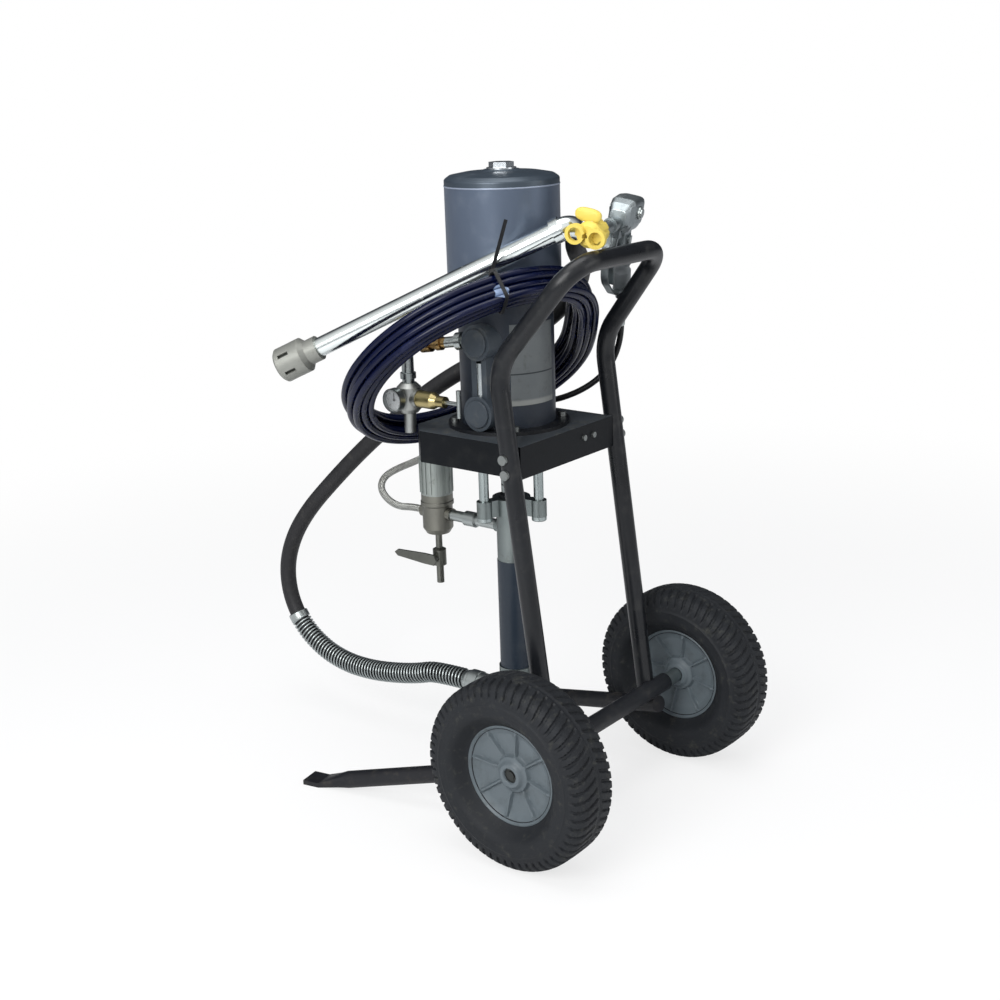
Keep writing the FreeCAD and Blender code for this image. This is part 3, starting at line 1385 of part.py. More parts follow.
band_hole = rounded_band(half_band, half_rise, 5.0, 6.8)
band = rounded_band(half_band + 1.4, half_rise + 1.4, 6.4, 4.8).cut(band_hole)
head_centre = tie_centre + coil_normal * (half_rise + 3.5) + tie_out * (half_band * 0.5)
head = Part.makeBox(9, 7, 5, Vector(-4.5, -3.5, -2.5))
head.Placement = Placement(head_centre, Rotation(tie_out, tie_along, coil_normal, "ZXY"))
tail_end = cart(84, -87, 824)
tail_way = tail_end - head_centre
tail = Part.makeBox(tail_way.Length, 4.6, 1.4, Vector(0, -2.3, -0.7))
tail.Placement = Placement(head_centre, Rotation(tail_way, tie_along, Vector(0, 0, 0), "XYZ"))
formed("zip_tie", band.fuse([head, tail]))

# Hose ends: the braided loop from the filter, the union to the long hose, and the thin whip hose to the gun.
coil_start = coil_points[0]
coil_start_way = coil_headings[0] * -1
coil_end = coil_points[-1]
coil_end_way = coil_headings[-1]
union_length = value("union_length")
unions = []
for place, way in ((coil_start, coil_start_way), (coil_end, coil_end_way)):
    unions.append(Part.makeCylinder(value("union_radius"), union_length, place, way))
formed("hose_unions", Part.Compound(unions))
loop_start = Vector(0, value("axle_y - filter_setback - filter_radius - 5 - joint_gap"), value("outlet_z"))
loop_end = coil_start + coil_start_way * (union_length + value("joint_gap"))
loop_route = [
    loop_start,
    cart(0, -350, 381),
    cart(-2, -378, 376),
    cart(-6, -406, 382),
    cart(-14, -427, 395),
    cart(-29, -432, 409),
    cart(-45, -418, 420),
    cart(-58, -392, 432),
    cart(-68, -360, 449),
    loop_end + coil_start_way * 20,
    loop_end,
]
loop_radii = easy_radii(loop_route)
loop_wire = route(loop_route, loop_radii)
formed("braided_hose", pipe(loop_wire, value("loop_radius"), loop_route[1] - loop_route[0], 12))
print("braided hose radii", [round(radius) for radius in loop_radii], "length", round(loop_wire.Length))

# Gun: in its own frame first, barrel along +X and up along +Z from the grip's top, then laid on the handle.
gun_turn = Rotation(Vector(0, 0, 1), value("gun_heading"))
gun_turn = gun_turn.multiply(Rotation(Vector(0, 1, 0), value("gun_drop")))
gun_turn = gun_turn.multiply(Rotation(Vector(1, 0, 0), value("gun_roll")))
gun_place = Placement(cart(value("gun_x"), value("gun_reach"), value("gun_z")), gun_turn)
rake = math.radians(value("grip_rake"))
grip_way = Vector(-math.sin(rake), 0, -math.cos(rake))


def on_gun(label, shape):
    shape.Placement = gun_place.multiply(shape.Placement)
    return formed(label, shape)


def along_x(radius, start, end, other_radius=None):
    if other_radius is None:
        return Part.makeCylinder(radius, end - start, Vector(start, 0, 0), Vector(1, 0, 0))
    return Part.makeCone(radius, other_radius, end - start, Vector(start, 0, 0), Vector(1, 0, 0))


body_radius = value("gun_body_radius")
barrel_reach = value("barrel_reach")
barrel_thick = value("gun_barrel_radius")
rear = along_x(11, -34, -24).fuse(
    [along_x(14, -24, -20, body_radius), along_x(body_radius, -20, 12), along_x(body_radius, 12, 24, 11)]
)
barrel = along_x(barrel_thick, 20, barrel_reach)
diffuser = along_x(barrel_thick + 4, barrel_reach - 16, barrel_reach)
saddle = Part.makeBox(26, 18, 26, Vector(-16, -9, -30))
crown = Part.makeBox(22, 12, 12, Vector(-12, -6, 12))
neck_start = grip_way * 22
neck = Part.makeCylinder(value("grip_radius") - 1, 26, neck_start, grip_way)
pivot_lug = Part.makeBox(10, 6, 14, Vector(16, -3, -16))
gun_body = rear.fuse([barrel, diffuser, saddle, crown, neck, pivot_lug])
pin_radius = value("pin_radius")
hole_radius = value("pin_radius + running_gap")
sideways = Vector(0, 1, 0)
trigger_pivot = Vector(value("trigger_x"), 0, -value("trigger_drop"))
latch_pivot = Vector(value("latch_x"), 0, -value("latch_drop"))
pin_hole = Part.makeCylinder(hole_radius, 30, trigger_pivot - sideways * 15, sideways)
latch_hole = Part.makeCylinder(hole_radius, 30, latch_pivot - sideways * 15, sideways)
grip_start = grip_way * 48
grip_end = grip_way * value("grip_length")
grip = Part.makeCylinder(value("grip_radius"), value("grip_length") - 48, grip_start, grip_way)
waist = Part.makeTorus(value("grip_radius") + 9, 11, grip_way * 76, grip_way)
on_gun("gun_body", gun_body.cut(pin_hole).cut(latch_hole))
on_gun("gun_grip", grip.cut(waist))

strap_points = [
    Vector(46, 0, -barrel_thick - 1.3),
    Vector(52, 0, -30),
    Vector(34, 0, -78),
    Vector(-8, 0, -104),
    grip_way * (value("grip_length") + 1.5),
]
strap_wire = route([Vector(p.x, 0, p.z) for p in strap_points], [14, 34, 30])
strap_ring = Part.makePolygon(
    [
        strap_points[0] + Vector(-1.3, -5, 0),
        strap_points[0] + Vector(1.3, -5, 0),
        strap_points[0] + Vector(1.3, 5, 0),
        strap_points[0] + Vector(-1.3, 5, 0),
        strap_points[0] + Vector(-1.3, -5, 0),
    ]
)
strap = strap_wire.makePipeShell([strap_ring], True, False)
strap_seat = along_x(barrel_thick + 2.2, 41, 51).cut(along_x(barrel_thick, 41, 51))
end_plate = Part.makeCylinder(value("grip_radius") + 1, 3, grip_end, grip_way)
strap_all = strap.fuse([strap_seat, end_plate]).cut(along_x(barrel_thick, 20, 80))
strap_all = strap_all.cut(Part.makeCylinder(value("grip_radius"), 20, grip_end, grip_way * -1))
on_gun("trigger_guard", strap_all)

trigger_points = [Vector(22, 0, -10), Vector(30, 0, -32), Vector(22, 0, -58), Vector(10, 0, -84)]
trigger_wire = route(trigger_points, [40, 60])
trigger_ring = Part.makePolygon(
    [
        Vector(19.5, -6, -10),
        Vector(24.5, -6, -10),
        Vector(24.5, 6, -10),
        Vector(19.5, 6, -10),
        Vector(19.5, -6, -10),
    ]
)
trigger_blade = trigger_wire.makePipeShell([trigger_ring], True, False)
cheeks = Part.makeBox(12, 13.4, 16, Vector(15, -6.7, -20))
cheek_slot = Part.makeBox(40, 6.8, 30, Vector(-10, -3.4, -21))
hinge_pin = Part.makeCylinder(pin_radius, 13.4, trigger_pivot - sideways * 6.7, sideways)
trigger_blade = trigger_blade.cut(Part.makeBox(40, 20, 12, Vector(0, -10, -20)))
trigger = trigger_blade.fuse([cheeks.cut(cheek_slot), hinge_pin])
# The trigger is cut clear of the gun's body all the way through its pull.
hub_room = [
    along_x(barrel_thick + 2 * value("hub_gap"), 0, 60),
    along_x(body_radius + value("hub_gap"), -20, 13),
    along_x(body_radius + value("hub_gap"), 13, 26, 11),
]
for share in range(4):
    for room in hub_room:
        turned_room = room.copy()
        turned_room.rotate(trigger_pivot, sideways, -value("trigger_travel") * share / 3)
        trigger = trigger.cut(turned_room)
on_gun("trigger", trigger)

latch_plate = Part.makeBox(8, 2, 22, Vector(-10, 11.5, -42))
latch_pin = Part.makeCylinder(pin_radius, 22.4, latch_pivot - sideways * 9.1, sideways)
on_gun("safety_latch", latch_plate.fuse(latch_pin))

# Tip end: the retaining nut with its guard wings, and the reversible tip that turns in a cross bore.
reach = value("guard_reach")
ring_start = barrel_reach - 6
nut_radius = value("guard_radius")
guard = along_x(nut_radius, ring_start, reach - 12)
guard = guard.fuse(along_x(nut_radius, reach - 12, reach - 4, nut_radius - 5))
eye_reach = value("eye_reach")
eye_radius = value("eye_radius")
eye_depth = value("eye_depth")
bridge_start = ring_start + 14
for side in (-1, 1):
    eye_back = Vector(reach - eye_depth / 2, side * eye_reach, 0)
    eye = Part.makeCylinder(eye_radius, eye_depth, eye_back, Vector(1, 0, 0))
    bridge_corner = Vector(bridge_start, side * (nut_radius - 2) - 3, -4.5)
    guard = guard.fuse([eye, Part.makeBox(reach - bridge_start, 6, 9, bridge_corner)])
for side in (-1, 1):
    hole_start = Vector(reach - 10, side * eye_reach, 0)
    guard = guard.cut(Part.makeCylinder(eye_radius - value("eye_wall"), 20, hole_start, Vector(1, 0, 0)))
guard = guard.cut(along_x(barrel_thick + 4, 60, barrel_reach)).cut(along_x(3.5, 60, reach + 30))
bore_start = Vector(reach - 18, 0, -nut_radius - 1)
cross_bore = Part.makeCylinder(value("tip_radius + running_gap"), 70, bore_start, Vector(0, 0, 1))
guard = guard.cut(cross_bore)
for number in range(8):
    flute = Part.makeCylinder(2.4, 24, Vector(ring_start - 4, 0, nut_radius + 1.2), Vector(1, 0, 0))
    flute.rotate(Vector(), Vector(1, 0, 0), 45 * number + 20)
    guard = guard.cut(flute)
on_gun("tip_guard", guard)
tip_core = Part.makeCylinder(value("tip_radius"), 34, Vector(reach - 18, 0, -12), Vector(0, 0, 1))
tip_stem = Part.makeCylinder(value("tip_radius"), 8, Vector(reach - 18, 0, 18), Vector(0, 0, 1))
flag_radius = value("flag_radius")
tip_flag = Part.makeCylinder(flag_radius, 5, Vector(reach - 12, -2.5, nut_radius + 2 + flag_radius), sideways)
tip_core = tip_core.cut(Part.makeCylinder(0.8, 30, Vector(reach - 33, 0, 0), Vector(1, 0, 0)))
on_gun("spray_tip", tip_core.fuse([tip_stem, tip_flag]))
swivel_start_point = grip_way * (value("grip_length") + 3)
swivel_pieces = Part.makeCylinder(9, 12, swivel_start_point, grip_way)
swivel_neck = Part.makeCylinder(6, 10, swivel_start_point + grip_way * 12, grip_way)
ferrule = Part.makeCylinder(7.5, 16, swivel_start_point + grip_way * 22, grip_way)
relief_start = swivel_start_point + grip_way * 38
relief_length = 24.0
relief = Part.makeCone(6.5, value("whip_radius") + 0.8, relief_length, relief_start, grip_way)
on_gun("gun_swivel", swivel_pieces.fuse([swivel_neck, ferrule, relief]))
whip_start = gun_place.multVec(relief_start + grip_way * (relief_length + value("joint_gap")))
whip_way = gun_turn.multVec(grip_way)
whip_end = coil_end + coil_end_way * (union_length + value("joint_gap"))
whip_route = [
    whip_start,
    whip_start + whip_way * 34,
    cart(-150, -96, 586),
    cart(-128, -128, 557),
    cart(-97, -172, 541),
    cart(-98, -212, 556),
    cart(-106, -243, 573),
    cart(-125, -276, 575),
    cart(-150, -308, 550),
    whip_end + coil_end_way * 55,
    whip_end,
]
whip_radii = easy_radii(whip_route)
whip_wire = route(whip_route, whip_radii)
formed("whip_hose", pipe(whip_wire, value("whip_radius"), whip_route[1] - whip_route[0], 12))
print("whip start", whip_start, "way", whip_way, "end", whip_end, "way", coil_end_way)
print("whip radii", [round(radius) for radius in whip_radii], "length", round(whip_wire.Length))

doc.recompute()
faults = [item.Label for item in doc.Objects if "Invalid" in item.State or "Error" in item.State]
for label, item in pieces.items():
    if item.Shape.isNull() or not item.Shape.isValid() or not item.Shape.Solids:
        faults.append(label)
if faults:
    raise RuntimeError("these did not come out: " + ", ".join(faults))
os.makedirs("parts", exist_ok=True)
for label, item in pieces.items():
    item.Shape.exportStep(f"parts/{label}.step")
print(len(pieces), "pieces written")
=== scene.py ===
import math

import bmesh
import bpy
import numpy as np
from mathutils import Matrix, Vector


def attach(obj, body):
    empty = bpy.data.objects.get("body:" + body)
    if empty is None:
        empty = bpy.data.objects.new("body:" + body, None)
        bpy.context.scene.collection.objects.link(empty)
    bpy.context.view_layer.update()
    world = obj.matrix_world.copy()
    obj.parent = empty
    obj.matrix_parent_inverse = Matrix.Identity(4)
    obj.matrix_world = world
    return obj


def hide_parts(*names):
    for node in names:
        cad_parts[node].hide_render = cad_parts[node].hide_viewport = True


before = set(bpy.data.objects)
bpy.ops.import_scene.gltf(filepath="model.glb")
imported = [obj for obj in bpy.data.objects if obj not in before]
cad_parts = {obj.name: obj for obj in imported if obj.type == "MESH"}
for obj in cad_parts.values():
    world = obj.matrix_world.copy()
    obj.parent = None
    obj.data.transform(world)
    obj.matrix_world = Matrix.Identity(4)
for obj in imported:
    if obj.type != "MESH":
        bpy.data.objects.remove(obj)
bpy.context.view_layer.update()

# Where the sprayer stands: a pale studio floor in a white surround, a large soft lamp left of the camera, a
# wide one overhead and a weak one on the right, and the camera at the photograph's angle.
CAMERA_PLACE = (1.5636, 1.2309, 1.0127)
CAMERA_AZIMUTH, CAMERA_ELEVATION, CAMERA_ROLL = 129.1, 16.43, -1.88
CAMERA_LENS = 53.2
LAMPS = (
    ("key_lamp", (1.95, 0.35, 1.55), 1.4, 40),
    ("top_lamp", (0.3, 0.1, 2.6), 1.8, 26),
    ("side_lamp", (-0.7, 2.1, 1.1), 1.2, 8),
)
LAMP_AIM = Vector((0, 0, 0.45))
WHITE, FILL_TONE, MIRROR_TONE = (255, 255, 255), (184, 186, 190), (52, 56, 62)
MIRROR_WAY, MIRROR_FROM, MIRROR_TO = Vector((0.72, 0.42, 0.55)).normalized(), -0.35, 0.85
FLOOR_HALF, FLOOR_SHADE = 12.0, (0.86, 0.86, 0.86, 1)
GLOW_FROM, GLOW_TO, GLOW_SHARE = 0.7, 2.4, 0.74


def turn(axis, degrees):
    """The matrix of a turn about an axis, given by its letter."""
    return Matrix.Rotation(math.radians(degrees), 4, axis)


def placed(name, data):
    """Puts an object with that mesh, curve, lamp or camera in the scene, at the origin."""
    thing = bpy.data.objects.new(name, data)
    bpy.context.scene.collection.objects.link(thing)
    return thing


camera = placed("camera", bpy.data.cameras.new("camera"))
camera.data.lens = CAMERA_LENS
camera.matrix_world = (
    Matrix.Translation(CAMERA_PLACE)
    @ turn("Z", CAMERA_AZIMUTH) @ turn("X", 90 - CAMERA_ELEVATION) @ turn("Z", CAMERA_ROLL)
)
bpy.context.scene.camera = camera
bpy.context.scene.view_settings.view_transform = "Standard"

for name, place, size, watts in LAMPS:
    lamp = placed(name, bpy.data.lights.new(name, "AREA"))
    lamp.data.shape, lamp.data.size, lamp.data.energy = "DISK", size, watts
    lamp.location = place
    lamp.rotation_euler = (LAMP_AIM - Vector(place)).to_track_quat("-Z", "Y").to_euler()


class Value:
    """A socket that takes part in sums: an expression on values adds its Math nodes."""

    def __init__(self, socket):
        self.socket = socket

    def combined(self, operation, first, second):
        """The Math node of two items, each of them a value or a plain number."""
        tree = self.socket.id_data
        sum_node = tree.nodes.new("ShaderNodeMath")
        sum_node.operation = operation
        for socket, item in zip(sum_node.inputs, (first, second)):
            if isinstance(item, Value):
                tree.links.new(item.socket, socket)
            else:
                socket.default_value = item
        return Value(sum_node.outputs[0])

    def __add__(self, other):
        return self.combined("ADD", self, other)

    def __sub__(self, other):
        return self.combined("SUBTRACT", self, other)

    def __rsub__(self, other):
        return self.combined("SUBTRACT", other, self)

    def __mul__(self, other):
        return self.combined("MULTIPLY", self, other)

    __radd__ = __add__
    __rmul__ = __mul__


class Nodes:
    """A node tree that is written as calls: node() adds any node, and the rest are the few most used."""

    def __init__(self, tree):
        self.tree = tree

    def node(self, kind, settings=(), inputs=(), output=0):
        """Adds a node. Its settings come first, then the values or links of its sockets."""
        made = self.tree.nodes.new("ShaderNode" + kind)
        for name, item in dict(settings).items():
            setattr(made, name, item)
        for name, item in dict(inputs).items():
            if isinstance(item, Value):
                self.tree.links.new(item.socket, made.inputs[name])
            else:
                made.inputs[name].default_value = item
        return Value(made.outputs[output])

    def number(self, operation, *items):
        """A number that a Math node works out."""
        return self.node("Math", {"operation": operation}, enumerate(items))

    def vector(self, operation, *items, output=0):
        """A vector that a Vector Math node works out, or the number of its second output."""
        return self.node("VectorMath", {"operation": operation}, enumerate(items), output)

    def part(self, vector, axis):
        """One coordinate of a vector: 0, 1 or 2 for x, y or z."""
        return self.node("SeparateXYZ", inputs={0: vector}, output=axis)

    def blend(self, share, first, second):
        """Mixes two colours, given as values or as (red, green, blue) in display tones of 0 to 255."""
        inputs = {0: share, 6: tone(first), 7: tone(second)}
        return self.node("Mix", {"data_type": "RGBA"}, inputs, 2)

    def between(self, number, low, high, bottom=0.0, top=1.0):
        """Carries low..high of a number smoothly onto bottom..top."""
        ends = {"Value": number, "From Min": low, "From Max": high, "To Min": bottom, "To Max": top}
        return self.node("MapRange", {"interpolation_type": "SMOOTHSTEP"}, ends)


def tone(colour):
    """Display tones of 0 to 255 as scene-linear colour, by the sRGB curve; a value passes through."""
    if isinstance(colour, Value):
        return colour
    shares = np.array(colour, float) / 255
    linear = np.where(shares <= 0.04045, shares / 12.92, ((shares + 0.055) / 1.055) ** 2.4)
    return (*linear, 1.0)


world = bpy.data.worlds.new("studio")
bpy.context.scene.world = world
world.use_nodes = True
sky = Nodes(world.node_tree)
facing = sky.vector("DOT_PRODUCT", sky.node("TexCoord"), MIRROR_WAY, output=1)
seen = sky.node("LightPath", output="Is Camera Ray")
gloss = sky.node("LightPath", output="Is Glossy Ray")
through = sky.node("LightPath", output="Is Transmission Ray")
mirrored = sky.blend(sky.between(facing, MIRROR_FROM, MIRROR_TO), MIRROR_TONE, WHITE)
surround = sky.blend(sky.number("MAXIMUM", seen, through), sky.blend(gloss, FILL_TONE, mirrored), WHITE)
sky.tree.links.new(surround.socket, world.node_tree.nodes["Background"].inputs["Color"])

floor_mesh = bpy.data.meshes.new("floor")
floor_corners = [(x * FLOOR_HALF, y * FLOOR_HALF, 0) for x, y in ((-1, -1), (1, -1), (1, 1), (-1, 1))]
floor_mesh.from_pydata(floor_corners, [], [(0, 1, 2, 3)])
floor = placed("floor", floor_mesh)
floor_finish = bpy.data.materials.new("floor")
floor_finish.use_nodes = True
paper = Nodes(floor_finish.node_tree)
lit = paper.node("BsdfDiffuse", inputs={"Color": FLOOR_SHADE})
white = paper.node("Emission", inputs={"Color": tone(WHITE)})
from_object = paper.vector("LENGTH", paper.node("TexCoord", output="Object"), output=1)
glow = paper.between(from_object, GLOW_FROM, GLOW_TO, GLOW_SHARE)
shown_share = glow * paper.node("LightPath", output="Is Camera Ray")
shown = paper.node("MixShader", inputs={0: shown_share, 1: lit, 2: white})
paper.tree.links.new(shown.socket, floor_finish.node_tree.nodes["Material Output"].inputs["Surface"])
floor_mesh.materials.append(floor_finish)

# Wheels: black pneumatic tyres with a staggered lug tread on grey ribbed rims. Each rim runs on two steel
# bushes and is held on the axle by a push-on washer.
WHEEL_CENTRES = {"near": (0.2012, 0.14, 0.13), "far": (-0.2012, 0.14, 0.13)}
TYRE_OUTLINE = (
    (0.0640, -0.0177, 0), (0.0692, -0.0185, 0), (0.0735, -0.0225, 0.003), (0.0860, -0.0385, 0.014),
    (0.0985, -0.0400, 0.010), (0.1290, -0.0350, 0.026), (0.1300, 0.0, 0.12), (0.1290, 0.0350, 0.026),
    (0.0985, 0.0400, 0.010), (0.0860, 0.0385, 0.014), (0.0735, 0.0225, 0.003), (0.0692, 0.0185, 0),
    (0.0640, 0.0177, 0),
)
TYRE_STEPS, TYRE_COLUMNS = 720, 88
LUG_PITCH, LUG_GAP, LUG_DEPTH, LUG_SLANT = 12, 4, 0.0026, 0.0032
CROWN_FROM, CROWN_FADE, RIDGE_HALF, RIDGE_FADE = 0.1105, 0.004, 0.0035, 0.002
GROOVE_FROM, GROOVE_HALF, GROOVE_SHARE, WALL_TO = 0.12, 0.0016, 0.7, 0.115
SIDE_RINGS = ((0.0905, 0.0012, 0.0010), (0.1035, 0.0016, 0.0012), (0.1115, 0.0010, 0.0008))
RUBBER_TONES = ((17, 19, 23), (30, 33, 37), (84, 84, 76))
RIM_TONES = ((78, 87, 92), (98, 107, 112), (48, 47, 41))
RIM_HALF = (
    (0.0063, 0, 0), (0.0063, 0.0145, 0.0003), (0.0098, 0.0145, 0.0003), (0.0100, 0.0200, 0.0008),
    (0.0160, 0.0200, 0.0014), (0.0200, 0.0150, 0.002), (0.0240, 0.0138, 0.002), (0.0262, 0.0075, 0.003),
    (0.0560, 0.0120, 0.008), (0.0640, 0.0165, 0.003), (0.0668, 0.0204, 0.0008), (0.0692, 0.0204, 0.0008),
    (0.0692, 0.0180, 0.0004), (0.0640, 0.0177, 0.001), (0.0632, 0, 0),
)
RIM_STEPS, RIM_SPACING, RIM_RIBS, RIB_FIRST, RIB_HALF, RIB_HEIGHT = 240, 0.0022, 8, 9.0, 0.0024, 0.0056
RIB_FROM, RIB_FROM_FADE, RIB_TO, RIB_TO_FADE, RIB_FACE = 0.024, 0.004, 0.0645, 0.005, 0.004
MERGE_WITHIN = 1e-6


def show(mesh, finish, body, *nodes, sharp=38):
    """Puts a mesh in the scene on its body, in place of its CAD nodes, smooth but for edges above an angle."""
    mesh.materials.append(finish)
    mesh.shade_smooth()
    mesh.set_sharp_from_angle(angle=math.radians(sharp))
    piece = placed(mesh.name, mesh)
    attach(piece, body)
    if nodes:
        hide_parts(*nodes)
    return piece


def quads(index):
    """The faces of a grid of point numbers: each joins four neighbours."""
    corners = (index[:-1, :-1], index[:-1, 1:], index[1:, 1:], index[1:, :-1])
    return np.stack(corners, 2).reshape(-1, 4).tolist()


def closed(mesh):
    """Merges a mesh's doubles and turns its faces outwards."""
    work = bmesh.new()
    work.from_mesh(mesh)
    bmesh.ops.remove_doubles(work, verts=work.verts, dist=MERGE_WITHIN)
    bmesh.ops.recalc_face_normals(work, faces=work.faces)
    work.to_mesh(mesh)
    work.free()
    return mesh


def woven(name, grid, loop_rows=False):
    """A closed mesh on a grid of points (rows, columns, 3), whose last column joins its first. With loop_rows
    its last row joins its first too."""
    index = np.arange(grid.shape[0] * grid.shape[1]).reshape(grid.shape[:2])
    if loop_rows:
        index = np.vstack((index, index[:1]))
    mesh = bpy.data.meshes.new(name)
    mesh.from_pydata(grid.reshape(-1, 3).tolist(), [], quads(np.hstack((index, index[:, :1]))))
    return closed(mesh)


def rounded(corners, arc_steps=8):
    """An outline of straight lines with each corner (across, up, radius) rounded by a quadratic curve between
    its two tangent points, or left sharp where the radius is 0. The curve stays within half of each side."""
    points = [np.array(corner[:2], float) for corner in corners]
    line = [points[0]]
    for before, corner, after, (_, _, radius) in zip(points, points[1:], points[2:], corners[1:-1]):
        way_in, way_out = corner - before, after - corner
        lengths = np.linalg.norm(way_in), np.linalg.norm(way_out)
        way_in, way_out = way_in / lengths[0], way_out / lengths[1]
        half = math.acos(np.clip(way_in @ way_out, -1, 1)) / 2
        if radius == 0 or half < 1e-4:
            line.append(corner)
            continue
        reach = min(radius * math.tan(half), 0.49 * min(lengths))
        share = np.linspace(0, 1, arc_steps)[:, None]
        start, end = corner - way_in * reach, corner + way_out * reach
        line.extend((1 - share) ** 2 * start + 2 * share * (1 - share) * corner + share ** 2 * end)
    line.append(points[-1])
    return np.array(line)


class Finish(Nodes):
    """A piece's material. Constants go straight on the shader's sockets, and coat() gives it what varies."""

    def __init__(self, name, **constants):
        self.material = bpy.data.materials.new(name)
        self.material.use_nodes = True
        super().__init__(self.material.node_tree)
        self.shader = self.tree.nodes["Principled BSDF"]
        for socket, number in constants.items():
            self.shader.inputs[socket.replace("_", " ")].default_value = number
        self.place = self.node("TexCoord", output="Object")

    def noise(self, scale, detail=2.0, stretch=(1, 1, 1), roughness=0.55):
        """Cloudy noise of that many cells a metre, times the stretch along each axis."""
        place = self.place
        if stretch != (1, 1, 1):
            place = self.node("Mapping", inputs={"Vector": place, "Scale": stretch})
        inputs = {"Vector": place, "Scale": scale, "Detail": detail, "Roughness": roughness}
        return self.node("TexNoise", inputs=inputs)

    def patches(self, scale, low, high, detail=6.0, stretch=(1, 1, 1), roughness=0.7):
        """Scattered patches with soft edges: noise, faded in between two of its levels."""
        return self.between(self.noise(scale, detail, stretch, roughness), low, high)

    def dusted(self, cloud, tones, share):
        """A colour of three tones: the first two mixed by the cloud, and a share of the third over them."""
        return self.blend(share, self.blend(cloud, *tones[:2]), tones[2])

    def relief(self, height, depth, strength):
        """The bent normal of a height of 0 to 1, as deep as that many metres."""
        return self.node("Bump", inputs={"Height": height, "Distance": depth, "Strength": strength})

    def coat(self, **linked):
        """Links what varies to the shader's sockets of those names, and gives the finished material."""
        for socket, item in linked.items():
            self.tree.links.new(item.socket, self.shader.inputs[socket.replace("_", " ")])
        return self.material


def rubber(name, tones, gloss=0.55, grain=900.0):
    """Moulded rubber: cloudy black, scattered patches of pale road dust, fine grain in its gloss and its surface.
    """
    finish = Finish(name, Specular_IOR_Level=0.28)
    cloud = finish.noise(28, 3)
    dust = finish.patches(75, 0.52, 0.78, 5)
    return finish.coat(Base_Color=finish.dusted(cloud, tones, dust * 0.38),
                       Roughness=gloss + 0.22 * cloud + 0.1 * dust,
                       Normal=finish.relief(finish.noise(grain, 2), 0.0004, 0.5))


def painted(name, tones, gloss, peel=420.0, dust=0.3):
    """Baked paint: cloudy tone, orange peel in its surface, rubbed patches that shine, and a film of dust."""
    finish = Finish(name, Specular_IOR_Level=0.34)
    cloud = finish.noise(16, 3)
    film = finish.patches(42, 0.5, 0.8, roughness=0.68)
    scuff = finish.patches(210, 0.64, 0.74, 3, (1, 1, 0.25), 0.55)
    return finish.coat(Base_Color=finish.dusted(cloud, tones, film * dust),
                       Roughness=gloss + 0.16 * cloud + 0.22 * film - 0.08 * scuff,
                       Normal=finish.relief(finish.noise(peel, 2) + 0.4 * scuff, 0.0005, 0.22))


def length_along(line):
    """How far along a line each of its points lies: the running sum of the steps between them."""
    return np.concatenate(((0,), np.cumsum(np.linalg.norm(np.diff(line, axis=0), axis=1))))


def sampled(line, reach, stations):
    """The points of a line at some distances along it, each coordinate interpolated by itself."""
    return np.stack([np.interp(stations, reach, part) for part in line.T], 1)


def tyre_grid(centre):
    """The tyre's section goes round the axle. Along the section's normal it loses the gaps between the lugs,
    every LUG_PITCH steps and half a pitch on at the other side, and gains the rings of the side wall."""
    section = rounded(TYRE_OUTLINE, 12)
    along = length_along(section)
    radius, side = sampled(section, along, np.linspace(0, along[-1], TYRE_COLUMNS)).T
    heading = np.stack((np.gradient(radius), np.gradient(side)), 1)
    heading /= np.linalg.norm(heading, axis=1)[:, None]
    step = np.arange(TYRE_STEPS)[:, None]
    shift = np.where(side > 0, 0, LUG_PITCH // 2) + (np.abs(side) / LUG_SLANT).astype(int)
    on_crown = np.clip((radius - CROWN_FROM) / CROWN_FADE, 0, 1)
    off_ridge = np.clip((np.abs(side) - RIDGE_HALF) / RIDGE_FADE, 0, 1)
    gap = ((step + shift) % LUG_PITCH < LUG_GAP) * on_crown * off_ridge
    groove = np.exp(-(side / GROOVE_HALF) ** 2) * (radius > GROOVE_FROM)
    rings = sum(high * np.exp(-((radius - at) / wide) ** 2) for at, wide, high in SIDE_RINGS)
    rise = rings * (radius < WALL_TO) - LUG_DEPTH * np.maximum(gap, GROOVE_SHARE * groove)
    angle = 2 * math.pi * step / TYRE_STEPS
    reach, width = radius + rise * heading[:, 1], side - rise * heading[:, 0]
    place = (centre[0] + width, centre[1] + reach * np.cos(angle), centre[2] + reach * np.sin(angle))
    return np.stack(place, 2)


def evened(line, spacing):
    """The points of an outline at one spacing, so that straight runs have points too."""
    reach = length_along(line)
    return sampled(line, reach, np.linspace(0, reach[-1], int(reach[-1] / spacing) + 2))


def rim_grid(centre):
    """The rim's closed section goes round the axle: bore, hub, dished web, lip and bead seat, and the same on
    its other side. Between hub and lip each face rises in thin ribs, by a bell curve of the distance from the
    nearest rib's middle."""
    half = evened(rounded(RIM_HALF, 6), RIM_SPACING)
    radius, side = np.vstack((half, half[::-1] * (1, -1))).T[:, :, None]
    angle = np.linspace(0, 2 * math.pi, RIM_STEPS, endpoint=False)
    from_rib = ((np.degrees(angle) - RIB_FIRST) * RIM_RIBS / 360 + 0.5) % 1 - 0.5
    away = radius * from_rib * 2 * math.pi / RIM_RIBS
    past_hub = np.clip((radius - RIB_FROM) / RIB_FROM_FADE, 0, 1)
    on_web = past_hub * np.clip((RIB_TO - radius) / RIB_TO_FADE, 0, 1)
    outer = np.sign(side) * (np.abs(side) > RIB_FACE)
    side = side + outer * on_web * RIB_HEIGHT * np.exp(-(away / RIB_HALF) ** 4)
    place = (centre[0] + side, centre[1] + radius * np.sin(angle), centre[2] + radius * np.cos(angle))
    return np.stack(place, 2)


